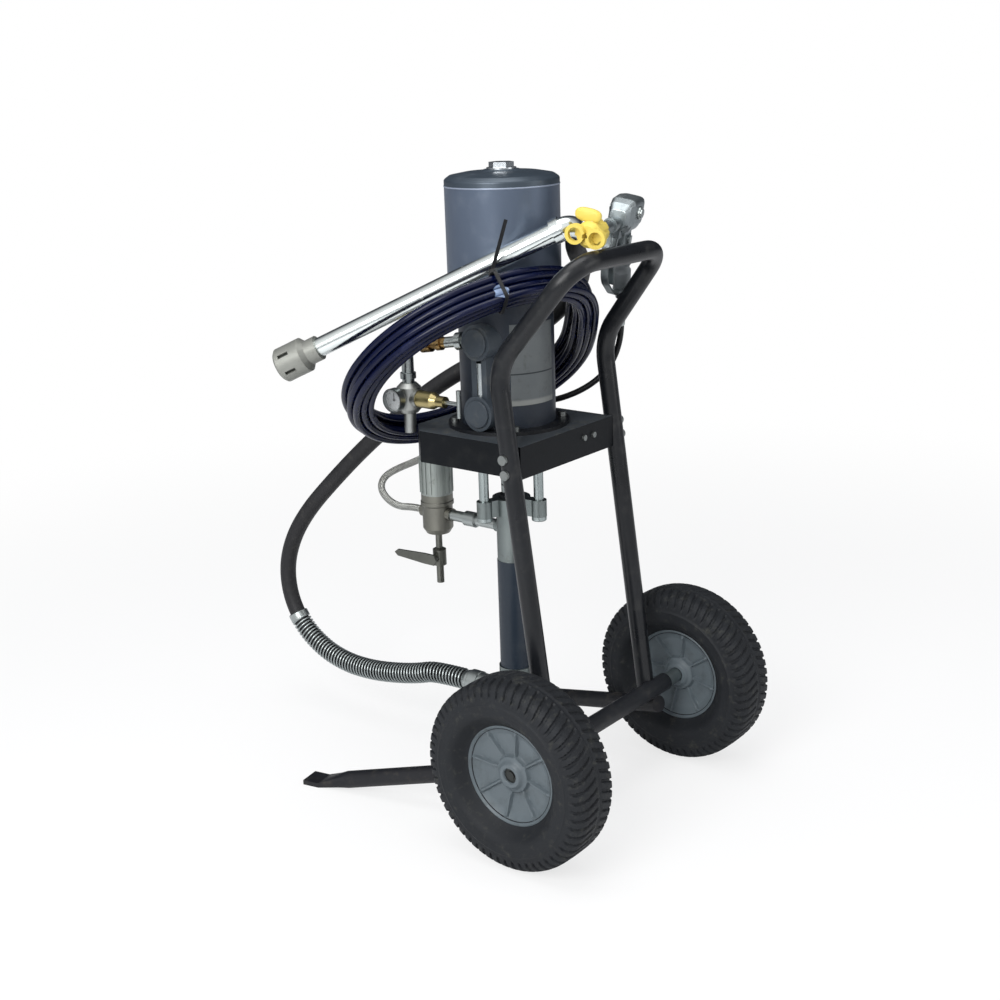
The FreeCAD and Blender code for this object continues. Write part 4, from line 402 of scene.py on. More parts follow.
tyre_finish = rubber("tyre_rubber", RUBBER_TONES)
rim_finish = painted("rim_paint", RIM_TONES, 0.34, dust=0.4)
for side, centre in WHEEL_CENTRES.items():
    wheel, tyre_node, rim_node = side + "_wheel", "tyre_" + side, "rim_" + side
    tyre = show(woven(tyre_node + "_tread", tyre_grid(centre), True), tyre_finish, wheel, tyre_node)
    rim = show(woven(rim_node + "_pressing", rim_grid(centre), True), rim_finish, wheel, rim_node, sharp=30)

# Axle: a black painted tube across the legs with a plated steel shaft through it, which carries the wheels on
# plain bushes between washers.
AXLE_TONES = ((20, 22, 26), (32, 34, 38), (84, 82, 76))
# The shaft's dark tones are painted shade of the hub holes that it shows in.
SHADED_SHAFT_TONES = ((52, 54, 54), (78, 80, 78), (38, 34, 28))
STEEL_TONES = ((146, 152, 152), (176, 182, 181), (92, 84, 70))


def metal(name, tones, gloss=0.26, lines=650.0, grain=(1, 1, 1), stain=0.4, metallic=1.0):
    """Bare or plated metal: cloudy tone, fine tool marks drawn out along the grain, and dull dark stains."""
    finish = Finish(name, Metallic=metallic)
    cloud = finish.noise(24, 3)
    marks = finish.noise(lines, 2, grain)
    spots = finish.patches(70, 0.54, 0.78)
    return finish.coat(Base_Color=finish.dusted(cloud, tones, spots * stain),
                       Roughness=gloss + 0.14 * marks + 0.24 * spots,
                       Normal=finish.relief(marks, 0.0003, 0.14))


def dress(finish, *nodes):
    """Gives CAD nodes their finish in place of the plain one."""
    for name in nodes:
        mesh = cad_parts[name].data
        mesh.materials.clear()
        mesh.materials.append(finish)


steel = metal("plated_steel", STEEL_TONES)
dress(painted("axle_paint", AXLE_TONES, 0.34), "axle_tube")
# Dark steel on the shaft: painted shade in the hub holes.
dress(metal("shaft_steel_shaded", SHADED_SHAFT_TONES, 0.4), "axle_shaft")
dress(steel, "wheel_spacers")

# Frame: one bent steel tube, up one leg, round the handle and down the other, painted satin black, with two
# straight feet under it whose tips are pressed flat. The paint is rubbed and dusty.
FRAME_TONES = ((13, 15, 18), (24, 26, 30), (78, 78, 74))
FOOT_TONES = ((14, 15, 19), (24, 25, 30), (88, 82, 72))
dress(painted("frame_paint", FRAME_TONES, 0.22, dust=0.2), "frame_tube")
dress(painted("foot_paint", FOOT_TONES, 0.36, dust=0.42), "stand_feet")

# Tray: a folded steel box, open below, bolted across the legs to carry the motor. Its faces that look up are
# painted grey as painted light from the lamps above, with dust patches, and its sides keep their black paint.
TRAY_SIDE_TONES = ((4, 7, 11), (9, 13, 18), (54, 54, 52))
TRAY_LIT_TOP_TONES = ((58, 63, 68), (72, 77, 82), (112, 110, 100))
BOLT_TONES = ((120, 124, 124), (152, 156, 154), (84, 74, 58))


def tray_paint():
    """Black paint whose faces that look up are greyer, by the up part of the surface's normal: painted light from
    above.
    """
    finish = Finish("tray_paint", Specular_IOR_Level=0.16)
    upward = finish.part(finish.node("NewGeometry", output="True Normal"), 2)
    cloud = finish.noise(18, 4)
    film = finish.patches(46, 0.46, 0.8, roughness=0.68)
    # The top's grey is painted light from above, with patches of dust over it.
    top = finish.dusted(cloud, TRAY_LIT_TOP_TONES, film * 0.45)
    edge = finish.dusted(cloud, TRAY_SIDE_TONES, film * 0.2)
    colour = finish.blend(finish.between(upward, 0.5, 0.95), edge, top)
    return finish.coat(Base_Color=colour, Roughness=0.36 + 0.3 * film,
                       Normal=finish.relief(finish.noise(420, 2), 0.0005, 0.2))


dress(tray_paint(), "motor_tray")
dress(metal("bolt_steel", BOLT_TONES, 0.34), "bolts")

# Air motor: a cylinder on a round black base, under a wide jacket of blue-grey painted metal with a rolled
# seam and a low dome. A bright hexagonal plug closes the dome.
JACKET_TONES = ((76, 87, 103), (90, 101, 118), (130, 136, 144))
BARREL_TONES = ((24, 30, 40), (38, 45, 55), (92, 94, 92))
BASE_TONES = ((14, 16, 20), (26, 28, 32), (80, 78, 72))
PLUG_TONES = ((170, 175, 179), (196, 200, 203), (120, 116, 104))
ROD_TONES = ((176, 184, 186), (204, 210, 211), (118, 112, 98))
MOTOR_FOOT = (0.0, -0.019, 0.0)
SEAM_LOW, SEAM_HIGH = 0.8586, 0.8606
SEAM_BELOW, SEAM_ABOVE, CAP_ABOVE = 0.0004, 0.0003, 0.0002
JACKET_OUTLINE = (
    (0.0747, 0.7165, 0), (0.0768, 0.7165, 0.0003), (0.0772, 0.7175, 0.0003), (0.0772, SEAM_LOW, 0.0003),
    (0.0778, SEAM_LOW + 0.0003, 0.0003), (0.0778, SEAM_HIGH - 0.0003, 0.0003), (0.0772, SEAM_HIGH, 0.0003),
    (0.0772, 0.8680, 0.0045), (0.0700, 0.8732, 0.006), (0.0500, 0.8768, 0.012), (0.0262, 0.8780, 0.001),
    (0.0236, 0.8799, 0.001), (0.0063, 0.8799, 0), (0.0063, 0.8760, 0), (0.0500, 0.8745, 0.01),
    (0.0680, 0.8705, 0.006), (0.0747, 0.8640, 0.004), (0.0747, 0.7165, 0),
)
# The seam's pale tone is a painted highlight along the bead.
SEAM_HIGHLIGHT_TONE, CAP_TONES = (158, 168, 186), ((50, 60, 70), (66, 76, 86))


def spun(outline, centre, steps, axis=(0, 0, 1)):
    """A body of revolution as a grid: each (radius, height) of the outline goes round an axis through the
    centre, in that many steps."""
    axis = np.array(axis, float) / np.linalg.norm(axis)
    across = np.cross(axis, (0.0, 0.0, 1.0) if abs(axis[2]) < 0.9 else (1.0, 0.0, 0.0))
    across /= np.linalg.norm(across)
    beside = np.cross(axis, across)
    angle = np.linspace(0, 2 * math.pi, steps, endpoint=False)[None, :, None]
    radius, height = outline[:, 0][:, None, None], outline[:, 1][:, None, None]
    return np.array(centre) + radius * (np.cos(angle) * across + np.sin(angle) * beside) + height * axis


def jacket_finish():
    """Blue-grey metallic paint with long streaks down it, a pale painted highlight along the rolled seam near its
    top, by height, and a darker cap above the seam."""
    finish = Finish("jacket_paint", Metallic=0.4)
    height = finish.part(finish.place, 2)
    cloud = finish.noise(14, 3, (1, 1, 0.18))
    film = finish.patches(42, 0.5, 0.8, roughness=0.68)
    cap = finish.between(height, SEAM_HIGH - SEAM_BELOW, SEAM_HIGH + CAP_ABOVE)
    seam_highlight = finish.between(height, SEAM_LOW - SEAM_BELOW, SEAM_LOW + SEAM_ABOVE) * (1 - cap)
    colour = finish.blend(cap, finish.blend(cloud, *JACKET_TONES[:2]), finish.blend(cloud, *CAP_TONES))
    colour = finish.blend(film * 0.14, colour, JACKET_TONES[2])
    # Painted highlight on the seam.
    colour = finish.blend(seam_highlight * 0.8, colour, SEAM_HIGHLIGHT_TONE)
    return finish.coat(Base_Color=colour, Roughness=0.3 + 0.12 * cloud + 0.2 * film,
                       Normal=finish.relief(finish.noise(300, 2), 0.0005, 0.16))


jacket_mesh = woven("jacket_shell", spun(rounded(JACKET_OUTLINE, 6), MOTOR_FOOT, 128), True)
jacket = show(jacket_mesh, jacket_finish(), "cart", "motor_jacket", sharp=42)
base_paint = painted("base_paint", BASE_TONES, 0.3, dust=0.25)
polished = metal("polished_rod", ROD_TONES, 0.14, 900.0, (1, 1, 0.05), 0.2)
dress(painted("barrel_paint", BARREL_TONES, 0.32, 300.0, dust=0.2), "air_cylinder", "cylinder_head")
dress(base_paint, "base_plate")
dress(metal("plug_steel", PLUG_TONES, 0.2), "top_plug")
dress(polished, "pump_rod", "valve_spool", "foot_ball", "piston_ball")
dress(steel, "air_piston", "rod_coupling")

# Valve housing: a cast block on the motor's side, two round lobes joined by a web, with a screwed cap on each.
# A bare aluminium plate is curved round the barrel beside it.
VALVE_TONES = ((46, 53, 60), (60, 67, 74), (104, 104, 98))
LABEL_TONES = ((86, 91, 94), (104, 108, 108), (66, 66, 62))
RULE_HEIGHT, RULE_HALF, RULE_TONE = 0.6150, 0.0012, (44, 48, 52)
WORN_HEIGHT, WORN_FADE, WORN_TONE = 0.5790, 0.002, (150, 152, 148)


def label_finish():
    """Brushed bare aluminium gone dull, with one thin dark rule across it and its lower edge rubbed bright."""
    finish = Finish("label_metal", Metallic=0.55)
    height = finish.part(finish.place, 2)
    brushed = finish.noise(900, 2, (1, 1, 0.04))
    cloud = finish.noise(34, 4)
    spots = finish.patches(70, 0.52, 0.76)
    rule = finish.between(height, RULE_HEIGHT - RULE_HALF, RULE_HEIGHT)
    rule = rule * (1 - finish.between(height, RULE_HEIGHT, RULE_HEIGHT + RULE_HALF))
    worn = 1 - finish.between(height, WORN_HEIGHT - WORN_FADE, WORN_HEIGHT + WORN_FADE)
    colour = finish.dusted(cloud, LABEL_TONES, spots * 0.4)
    colour = finish.blend(worn * 0.6, colour, WORN_TONE)
    colour = finish.blend(rule * 4, colour, RULE_TONE)
    return finish.coat(Base_Color=colour, Roughness=0.4 + 0.12 * brushed + 0.2 * spots,
                       Normal=finish.relief(brushed, 0.0003, 0.2))


dress(painted("valve_paint", VALVE_TONES, 0.38, dust=0.34), "valve_housing")
dress(label_finish(), "label_plate")

# Air side: a cast regulator body with a bonnet and a T screw, a round pressure gauge on it, and brass and steel
# fittings that carry the air up and over to the valve housing.
CAST_TONES = ((142, 145, 144), (172, 174, 171), (96, 90, 80))
BRASS_TONES = ((150, 136, 92), (186, 172, 126), (92, 80, 56))
FITTING_BRASS, FITTING_STAIN = ((128, 96, 62), (168, 144, 96)), (76, 66, 50)
BRASS_FROM, BRASS_TO, BRASS_EDGE = -0.104, -0.062, 0.0004
dress(metal("cast_metal", CAST_TONES, 0.36, 380.0), "regulator_body")
dress(steel, "regulator_screw", "gauge_case")
dress(metal("brass", BRASS_TONES, 0.24), "regulator_bonnet")


def fitting_finish():
    """Plated steel and brass pieces screwed together: along the run to the motor the middle ones are brass."""
    finish = Finish("fitting_metal", Metallic=1.0)
    along = finish.part(finish.place, 1)
    cloud = finish.noise(34, 4)
    spots = finish.patches(90, 0.5, 0.74)
    is_brass = finish.between(along, BRASS_FROM, BRASS_FROM + BRASS_EDGE)
    is_brass = is_brass * (1 - finish.between(along, BRASS_TO, BRASS_TO + BRASS_EDGE))
    plated = finish.blend(cloud, *STEEL_TONES[:2])
    colour = finish.blend(is_brass, plated, finish.blend(cloud, *FITTING_BRASS))
    colour = finish.blend(spots * 0.5, colour, FITTING_STAIN)
    return finish.coat(Base_Color=colour, Roughness=0.24 + 0.25 * spots,
                       Normal=finish.relief(finish.noise(700, 2), 0.0003, 0.14))


dress(fitting_finish(), "air_fittings")

# Gauge dial: a white enamelled disc behind the glass, with a ring of plain black marks and longer ones
# between. A black pointer turns in front of it, on the case's axis.
DIAL_CENTRE, DIAL_RADIUS, DIAL_BACK, DIAL_FACE = (0.0, -0.1265, 0.5765), 0.0149, 0.11485, 0.11505
DIAL_OUTLINE = (
    (0, DIAL_BACK, 0), (DIAL_RADIUS, DIAL_BACK, 0), (DIAL_RADIUS, DIAL_FACE, 0), (0, DIAL_FACE, 0),
)
DIAL_TONES, MARK_TONE = ((222, 228, 230), (236, 240, 240)), (30, 32, 34)
MARKS = ((40, 0.0116, 0.10), (8, 0.0098, 0.035))
MARK_END, MARK_EDGE, MARK_SWEEP, SWEEP_EDGE = 0.0133, 0.0003, 0.82, 0.004


def dial_finish():
    """White enamel. A mark stands wherever the share of a turn round the centre is near a whole fortieth,
    between two radii; near a whole eighth the mark is longer and wider. The lowest part of the turn has none."""
    finish = Finish("dial_enamel")
    flat = finish.vector("MULTIPLY", finish.vector("SUBTRACT", finish.place, DIAL_CENTRE), (0, 1, 1))
    radius = finish.vector("LENGTH", flat, output=1)
    share = finish.number("ARCTAN2", finish.part(flat, 1), finish.part(flat, 2)) * (0.5 / math.pi)
    inside = 1 - finish.between(radius, MARK_END, MARK_END + MARK_EDGE)
    dark = 0
    for count, start, half in MARKS:
        near = 1 - finish.between(finish.number("PINGPONG", share * count, 0.5), half, half * 1.6)
        dark = finish.between(radius, start, start + MARK_EDGE) * inside * near + dark
    swept = finish.between(finish.number("ABSOLUTE", share), MARK_SWEEP / 2, MARK_SWEEP / 2 + SWEEP_EDGE)
    colour = finish.blend(finish.noise(50, 4), *DIAL_TONES)
    colour = finish.blend(dark * (1 - swept), colour, MARK_TONE)
    return finish.coat(Base_Color=colour, Roughness=0.4 + 0.1 * finish.noise(300, 2))


dial_mesh = woven("gauge_dial", spun(rounded(DIAL_OUTLINE), DIAL_CENTRE, 72, (1, 0, 0)))
dial = show(dial_mesh, dial_finish(), "cart")
glass = Finish("gauge_glass", Alpha=0.16, IOR=1.46)
dress(glass.coat(Roughness=0.03 + 0.1 * glass.noise(60, 4)), "gauge_glass")
dress(base_paint, "gauge_pointer")

# Pump: three steel tie rods hang the outlet housing under the tray, and the pump cylinder and its foot valve
# screw into it from below. The cylinder wears a dark sleeve.
HOUSING_TONES = ((106, 114, 114), (136, 143, 142), (80, 74, 64))
SLEEVE_TONES = ((28, 37, 48), (38, 47, 57), (84, 86, 86))
ROD_PLATE_TONES = ((138, 148, 149), (172, 180, 179), (96, 92, 82))
dress(metal("tie_steel", ROD_PLATE_TONES, 0.2, 800.0, (1, 1, 0.04)), "tie_rods")
dress(metal("housing_steel", HOUSING_TONES, 0.3, 700.0, (0.1, 0.1, 1)), "outlet_housing", "foot_valve")
dress(painted("sleeve_paint", SLEEVE_TONES, 0.3, dust=0.2), "pump_cylinder")
dress(rubber("packing_rubber", RUBBER_TONES), "rod_packings")

# Filter: a ribbed grey bowl screwed up onto a steel body with a strainer element inside, fed by a plated pipe,
# with a drain valve and its bent handle below.
BOWL_TONES = ((132, 139, 137), (158, 164, 160), (96, 94, 84))
BODY_TONES = ((108, 108, 102), (134, 133, 125), (76, 70, 58))
DRAIN_TONES = ((88, 90, 86), (118, 118, 112), (60, 54, 44))
dress(metal("bowl_metal", BOWL_TONES, 0.38, 500.0, metallic=0.7), "filter_bowl")
dress(metal("filter_steel", BODY_TONES, 0.34, 700.0, (0.1, 0.1, 1)), "filter_body", "filter_element")
dress(steel, "fluid_pipe")
dress(metal("drain_steel", DRAIN_TONES, 0.32), "drain_valve", "drain_handle")

# Suction side: a steel swivel at the foot valve, and a bright thin-walled tube that leans against the motor's
# jacket, with an elbow at its top and a slotted grey strainer at its lower end.
TUBE_TONES = ((206, 213, 212), (232, 238, 237), (140, 140, 130))
STRAINER_TONES = ((126, 128, 123), (150, 151, 145), (90, 86, 76))
dress(steel, "suction_swivel")
dress(metal("chrome_tube", TUBE_TONES, 0.1, 900.0, stain=0.25), "suction_tube")
dress(metal("strainer_metal", STRAINER_TONES, 0.4, 500.0, metallic=0.6), "strainer")

# Strainer gauze: a cup of fine dark wire gauze inside the strainer, seen through its slots. It stands on the
# strainer's own axis, from the end of the tube.
STRAINER_START = (0.1971, -0.2017, 0.6490)
STRAINER_WAY = (0.4182, -0.8039, -0.4220)
GAUZE_OUTLINE = ((0, 0.0085, 0), (0.0205, 0.0085, 0.001), (0.0205, 0.0430, 0.001), (0, 0.0430, 0))
GAUZE_TONES = ((48, 50, 48), (84, 86, 82), (34, 32, 28))
gauze_mesh = woven("strainer_gauze", spun(rounded(GAUZE_OUTLINE), STRAINER_START, 64, STRAINER_WAY))
gauze = show(gauze_mesh, metal("gauze_wire", GAUZE_TONES, 0.45, 1600.0), "cart")

# Suction hose: ribless black rubber hose from the swivel, out low over the floor, up past the wound hose and
# round the motor to the elbow of the suction tube.
SUCTION_ROUTE = (
    (0, -0.0664, 0.125), (0, -0.172, 0.125), (0, -0.215, 0.110), (0, -0.265, 0.099), (0, -0.315, 0.092),
    (0, -0.368, 0.092), (0, -0.420, 0.105), (0, -0.466, 0.136), (0, -0.492, 0.182), (-0.002, -0.497, 0.235),
    (-0.006, -0.479, 0.288), (-0.012, -0.444, 0.338), (-0.024, -0.398, 0.388), (-0.038, -0.347, 0.440),
    (-0.050, -0.295, 0.486), (-0.060, -0.245, 0.528), (-0.078, -0.195, 0.565), (-0.102, -0.148, 0.594),
    (-0.124, -0.098, 0.624), (-0.134, -0.046, 0.657), (-0.126, 0.0, 0.694), (-0.104, 0.034, 0.727),
    (-0.072, 0.057, 0.754), (-0.038, 0.072, 0.774), (-0.010, 0.092, 0.787), (0.008773, 0.105068, 0.801502),
)
SUCTION_RADIUS, SUCTION_LENGTH = 0.013, 1.368
HOSE_BLACK = ((24, 24, 26), (40, 40, 42), (78, 76, 70))


def hose(name, points, radius, finish, body, *nodes):
    """A round hose: a NURBS curve of order 3 with the route's points as its control points."""
    curve = bpy.data.curves.new(name, "CURVE")
    curve.dimensions = "3D"
    curve.resolution_u = 8
    line = curve.splines.new("NURBS")
    line.points.add(len(points) - 1)
    line.points.foreach_set("co", np.hstack((points, np.ones((len(points), 1)))).ravel())
    line.order_u = 3
    line.use_endpoint_u = True
    curve.bevel_depth = radius
    curve.bevel_resolution = 5
    curve.use_fill_caps = True
    curve.materials.append(finish)
    piece = placed(name, curve)
    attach(piece, body)
    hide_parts(*nodes)
    return piece


suction_points = np.array(SUCTION_ROUTE)
suction_rubber = rubber("suction_rubber", HOSE_BLACK, 0.4)
suction_hose = hose("suction_hose_line", suction_points, SUCTION_RADIUS, suction_rubber, "cart", "suction_hose")

# Spring guard: a steel wire wound round the low part of the suction hose, so that it can't kink. It is held by a
# crimped ferrule at the swivel and by a short collar at its other end.
SPRING_WIRE, SPRING_GAP, SPRING_CURLS, CURL_POINTS = 0.0015, 0.0002, 60, 24
SPRING_START, SPRING_END = 0.050, 0.424
BANDS = {
    "swivel_ferrule": ((0.0006, 0.0158), (0.0026, 0.0167), (0.0340, 0.0167), (0.0360, 0.0158),
                       (0.0440, 0.0158), (0.0500, 0.0138)),
    "spring_collar": ((0.4220, 0.0152), (0.4232, 0.0161), (0.4342, 0.0161), (0.4356, 0.0140)),
}
BAND_POINTS = 60
SPRING_TONES = ((136, 143, 144), (174, 181, 180), (84, 80, 72))
CARRY_FROM = (0.31, 0.17, 0.93)


def centre_line(piece, spacing=0.0006):
    """Points along a hose's own NURBS line, as Blender gives them for the curve with no bevel, at one spacing.
    With them comes how far along the line each of them is."""
    bare = piece.copy()
    bare.data = piece.data.copy()
    bare.data.bevel_depth = 0
    bpy.context.scene.collection.objects.link(bare)
    line_mesh = bpy.data.meshes.new_from_object(bare.evaluated_get(bpy.context.evaluated_depsgraph_get()))
    points = np.empty(len(line_mesh.vertices) * 3)
    line_mesh.vertices.foreach_get("co", points)
    bpy.data.objects.remove(bare)
    points = points.reshape(-1, 3)
    reach = length_along(points)
    stations = np.linspace(0, reach[-1], int(reach[-1] / spacing) + 1)
    return sampled(points, reach, stations), stations


def carried(line):
    """The side and up directions along a line: the side is carried on from point to point without twist."""
    heading = np.gradient(line, axis=0)
    heading /= np.linalg.norm(heading, axis=1)[:, None]
    side = np.empty_like(line)
    side[0] = np.cross(heading[0], CARRY_FROM)
    for index in range(1, len(line)):
        side[index] = side[index - 1] - heading[index] * (side[index - 1] @ heading[index])
        side[index] /= np.linalg.norm(side[index])
    side[0] /= np.linalg.norm(side[0])
    return side, np.cross(heading, side)


def wound_tube(name, line, radius, sides):
    """A round tube on a line, of one radius or one for each station: sides points go round it at each station, in
    the carried directions, and its UV map has the turns round it across and the metres along it up."""
    side, up = carried(line)
    angle = np.linspace(0, 2 * math.pi, sides + 1)
    ring = np.cos(angle)[:, None] * side[:, None] + np.sin(angle)[:, None] * up[:, None]
    grid = line[:, None] + np.broadcast_to(radius, len(line))[:, None, None] * ring
    index = np.arange(grid.shape[0] * grid.shape[1]).reshape(grid.shape[:2])
    ends = [index[0, :-1].tolist(), index[-1, :-1][::-1].tolist()]
    mesh = bpy.data.meshes.new(name)
    mesh.from_pydata(grid.reshape(-1, 3).tolist(), [], quads(index) + ends)
    spots = np.broadcast_arrays(angle / (2 * math.pi), length_along(line)[:, None])
    corner = np.empty(len(mesh.loops), int)
    mesh.loops.foreach_get("vertex_index", corner)
    layer = mesh.uv_layers.new(name="along")
    layer.data.foreach_set("uv", np.stack(spots, 2).reshape(-1, 2)[corner].ravel())
    return closed(mesh)


hose_line, hose_reach = centre_line(suction_hose)
stations = np.linspace(SPRING_START, SPRING_END, SPRING_CURLS * CURL_POINTS)
curl = 2 * math.pi * SPRING_CURLS * (stations - SPRING_START) / (SPRING_END - SPRING_START)
middle, side, up = (sampled(part, hose_reach, stations) for part in (hose_line, *carried(hose_line)))
wind = np.cos(curl)[:, None] * side + np.sin(curl)[:, None] * up
spring_line = middle + wind * (SUCTION_RADIUS + SPRING_WIRE + SPRING_GAP)
spring_mesh = wound_tube("spring_wire", spring_line, SPRING_WIRE, 8)
spring = show(spring_mesh, metal("spring_steel", SPRING_TONES, 0.22), "cart", "spring_guard", sharp=50)
for name, outline in BANDS.items():
    held = np.linspace(outline[0][0], outline[-1][0], BAND_POINTS)
    seat = sampled(hose_line, hose_reach, held)
    band_mesh = wound_tube(name, seat, np.interp(held, *np.array(outline).T), 48)
    band = show(band_mesh, steel, "cart", sharp=50)

# Long hose: high-pressure paint hose with a smooth dark blue cover, wound by hand in four layers of three turns
# and leaned against the motor. It gives way where it rests on the jacket, the handle and the fittings.
COIL_CENTRE = (0.0257, -0.0529, 0.6219)
COIL_TILT, COIL_HEADING = 41.65, 72.7
COIL_RADIUS, COIL_PITCH, HOSE_RADIUS = 0.1758, 0.0104, 0.0048
COIL_LAYERS, COIL_TURNS_IN_LAYER = 4, 3
COIL_START, COIL_LEAD, COIL_CLIMB = 150.0, 0.2, 0.25
LEAD_OUT, START_RISE, END_RISE = 0.010, -0.004, 0.006
COIL_TURNS = COIL_LAYERS * COIL_TURNS_IN_LAYER - 20 / 360
COIL_GIVES = ((64.0, -0.017, 0.0), (20.0, 0.006, 0.0), (148.0, 0.007, 0.008))
GIVE_WIDTH, TURN_POINTS = 45.0, 24
BLUE_TONES = ((1, 5, 24), (4, 13, 50), (38, 48, 92))
# A pale blue patch on the coil's turns round one place: a painted highlight.
SHEEN_PLACE, SHEEN_REACH, SHEEN_RAGGED, SHEEN_EDGE = (0.1125, 0.0650, 0.7360), 0.013, 0.006, 0.0008
SHEEN_TONES = ((120, 140, 172), (150, 166, 192))
tilt, heading = math.radians(COIL_TILT), math.radians(COIL_HEADING)
coil_high = np.array((math.cos(tilt) * math.cos(heading), math.cos(tilt) * math.sin(heading), math.sin(tilt)))
coil_side = np.array((-math.sin(heading), math.cos(heading), 0.0))
coil_normal = np.cross(coil_high, coil_side)


def coil_at(turns):
    """The hose's line by turns wound: each layer spirals in or out by one pitch a turn, then climbs one pitch in
    half a turn. Both ends lead outward, and near three angles the winding gives way by a squared cosine."""
    layer = np.minimum(turns // COIL_TURNS_IN_LAYER, COIL_LAYERS - 1)
    inside = turns - layer * COIL_TURNS_IN_LAYER
    sideways = COIL_PITCH * (COIL_TURNS_IN_LAYER / 2 - inside) * np.where(layer % 2 == 1, -1, 1)
    left = COIL_TURNS_IN_LAYER - inside
    starting = (layer > 0) & (inside < COIL_CLIMB)
    ending = (layer < COIL_LAYERS - 1) & (left < COIL_CLIMB)
    climb = layer - np.where(starting, 0.5 * (1 - np.sin(2 * math.pi * inside)), 0)
    climb = climb + np.where(ending, 0.5 * (1 - np.sin(2 * math.pi * left)), 0)
    rise = (climb - (COIL_LAYERS - 1) / 2) * COIL_PITCH
    lead = np.maximum(0, np.maximum(1 - turns / COIL_LEAD, 1 - (COIL_TURNS - turns) / COIL_LEAD)) ** 2
    sideways = sideways + LEAD_OUT * lead
    rise = rise + np.where(turns > COIL_LEAD, END_RISE, START_RISE) * lead
    degrees = COIL_START - 360 * turns
    for give_angle, outward, upward in COIL_GIVES:
        away = (degrees - give_angle + 180) % 360 - 180
        share = np.where(np.abs(away) < GIVE_WIDTH, np.cos(math.pi * away / (2 * GIVE_WIDTH)) ** 2, 0)
        sideways, rise = sideways + outward * share, rise + upward * share
    angle = np.radians(degrees)[:, None]
    ring = coil_high * np.cos(angle) + coil_side * np.sin(angle)
    return np.array(COIL_CENTRE) + ring * (COIL_RADIUS + sideways)[:, None] + coil_normal * rise[:, None]


def hose_cover(name, tones, gloss=0.18, sheen=False):
    """A smooth extruded cover: cloudy tone, a rubbed bloom on it, and soft scuffs in its gloss. A pale blue
    painted highlight may be laid on it, wherever it is within a reach of one place, with a ragged edge."""
    finish = Finish(name, Specular_IOR_Level=0.24)
    cloud = finish.noise(30, 3)
    bloom = finish.patches(26, 0.52, 0.74)
    colour = finish.dusted(cloud, tones, bloom * 0.18)
    if sheen:
        # Within a reach of that place the cover is painted pale blue: a painted highlight.
        away = finish.vector("DISTANCE", finish.place, SHEEN_PLACE, output=1)
        ragged = away + SHEEN_RAGGED * finish.noise(90, 2)
        sheened = 1 - finish.between(ragged, SHEEN_REACH, SHEEN_REACH + SHEEN_EDGE)
        colour = finish.blend(sheened, colour, finish.blend(cloud, *SHEEN_TONES))
    return finish.coat(Base_Color=colour, Roughness=gloss + 0.2 * bloom + 0.08 * cloud,
                       Normal=finish.relief(finish.noise(500, 2), 0.0004, 0.12))


turns = np.append(np.arange(0, COIL_TURNS, 1 / TURN_POINTS), COIL_TURNS)
coil_points = coil_at(turns)
blue = hose_cover("blue_cover", BLUE_TONES, sheen=True)
long_hose = hose("long_hose_line", coil_points, HOSE_RADIUS, blue, "cart", "long_hose")

# Braided loop: a short stainless braided hose from the filter's outlet to the long hose's first union.
LOOP_ROUTE = (
    (0, -0.1879, 0.381), (0, -0.210, 0.381), (-0.002, -0.238, 0.376), (-0.006, -0.266, 0.382),
    (-0.014, -0.287, 0.395), (-0.029, -0.292, 0.409), (-0.045, -0.278, 0.420), (-0.058, -0.252, 0.432),
    (-0.068, -0.220, 0.449),
)
LOOP_RADIUS, LOOP_LENGTH, LOOP_RUN, LOOP_SPACING = 0.0054, 0.293, 0.020, 0.0015
UNION_LENGTH, UNION_GAP, END_TURNS = 0.024, 0.0004, 0.004
# Of the braid's tones the first is painted shade in the seams, the second a painted highlight on the crowns.
BRAID_TONES = ((64, 66, 64), (206, 207, 202), (66, 60, 50))
BRAID_STRANDS, BRAID_PITCH = 10, 0.019


def braid_finish():
    """Woven wire: two sets of strands cross on the tube's UV map, one going round each way. Where one is on top
    its crown gets a painted highlight, and the seams get painted shade and are sunk."""
    finish = Finish("braided_wire", Metallic=1.0)
    spot = finish.node("UVMap", {"uv_map": "along"})
    share, lean = finish.part(spot, 0), finish.part(spot, 1) * (1 / BRAID_PITCH)
    crowns = []
    for way in (1, -1):
        wave = finish.number("SINE", 2 * math.pi * BRAID_STRANDS * (share + way * lean))
        crowns.append(0.5 + 0.5 * wave)
    weave_height_and_shade = finish.number("MAXIMUM", *crowns) * (0.5 + 0.5 * crowns[0])
    cloud = finish.noise(60, 4)
    colour = finish.dusted(weave_height_and_shade, BRAID_TONES, finish.between(cloud, 0.55, 0.75) * 0.4)
    return finish.coat(Base_Color=colour, Roughness=0.3 + 0.15 * cloud,
                       Normal=finish.relief(weave_height_and_shade, 0.0012, 0.7))


def way_out(end, turns):
    """The direction in which the wound hose leaves at an end: to it from its line a little way in."""
    way = end - coil_at(np.array((turns,)))[0]
    return way / np.linalg.norm(way)


start_way = way_out(coil_points[0], END_TURNS)
loop_end = coil_points[0] + start_way * (UNION_LENGTH + UNION_GAP)
loop_points = np.vstack((LOOP_ROUTE, loop_end + start_way * LOOP_RUN, loop_end))
braid = braid_finish()
guide = hose("braid_guide", loop_points, LOOP_RADIUS, braid, "cart")
loop_line, _ = centre_line(guide, LOOP_SPACING)
bpy.data.objects.remove(guide)
braided_mesh = wound_tube("braided_loop", loop_line, LOOP_RADIUS, 20)
braided = show(braided_mesh, braid, "cart", "braided_hose", sharp=50)

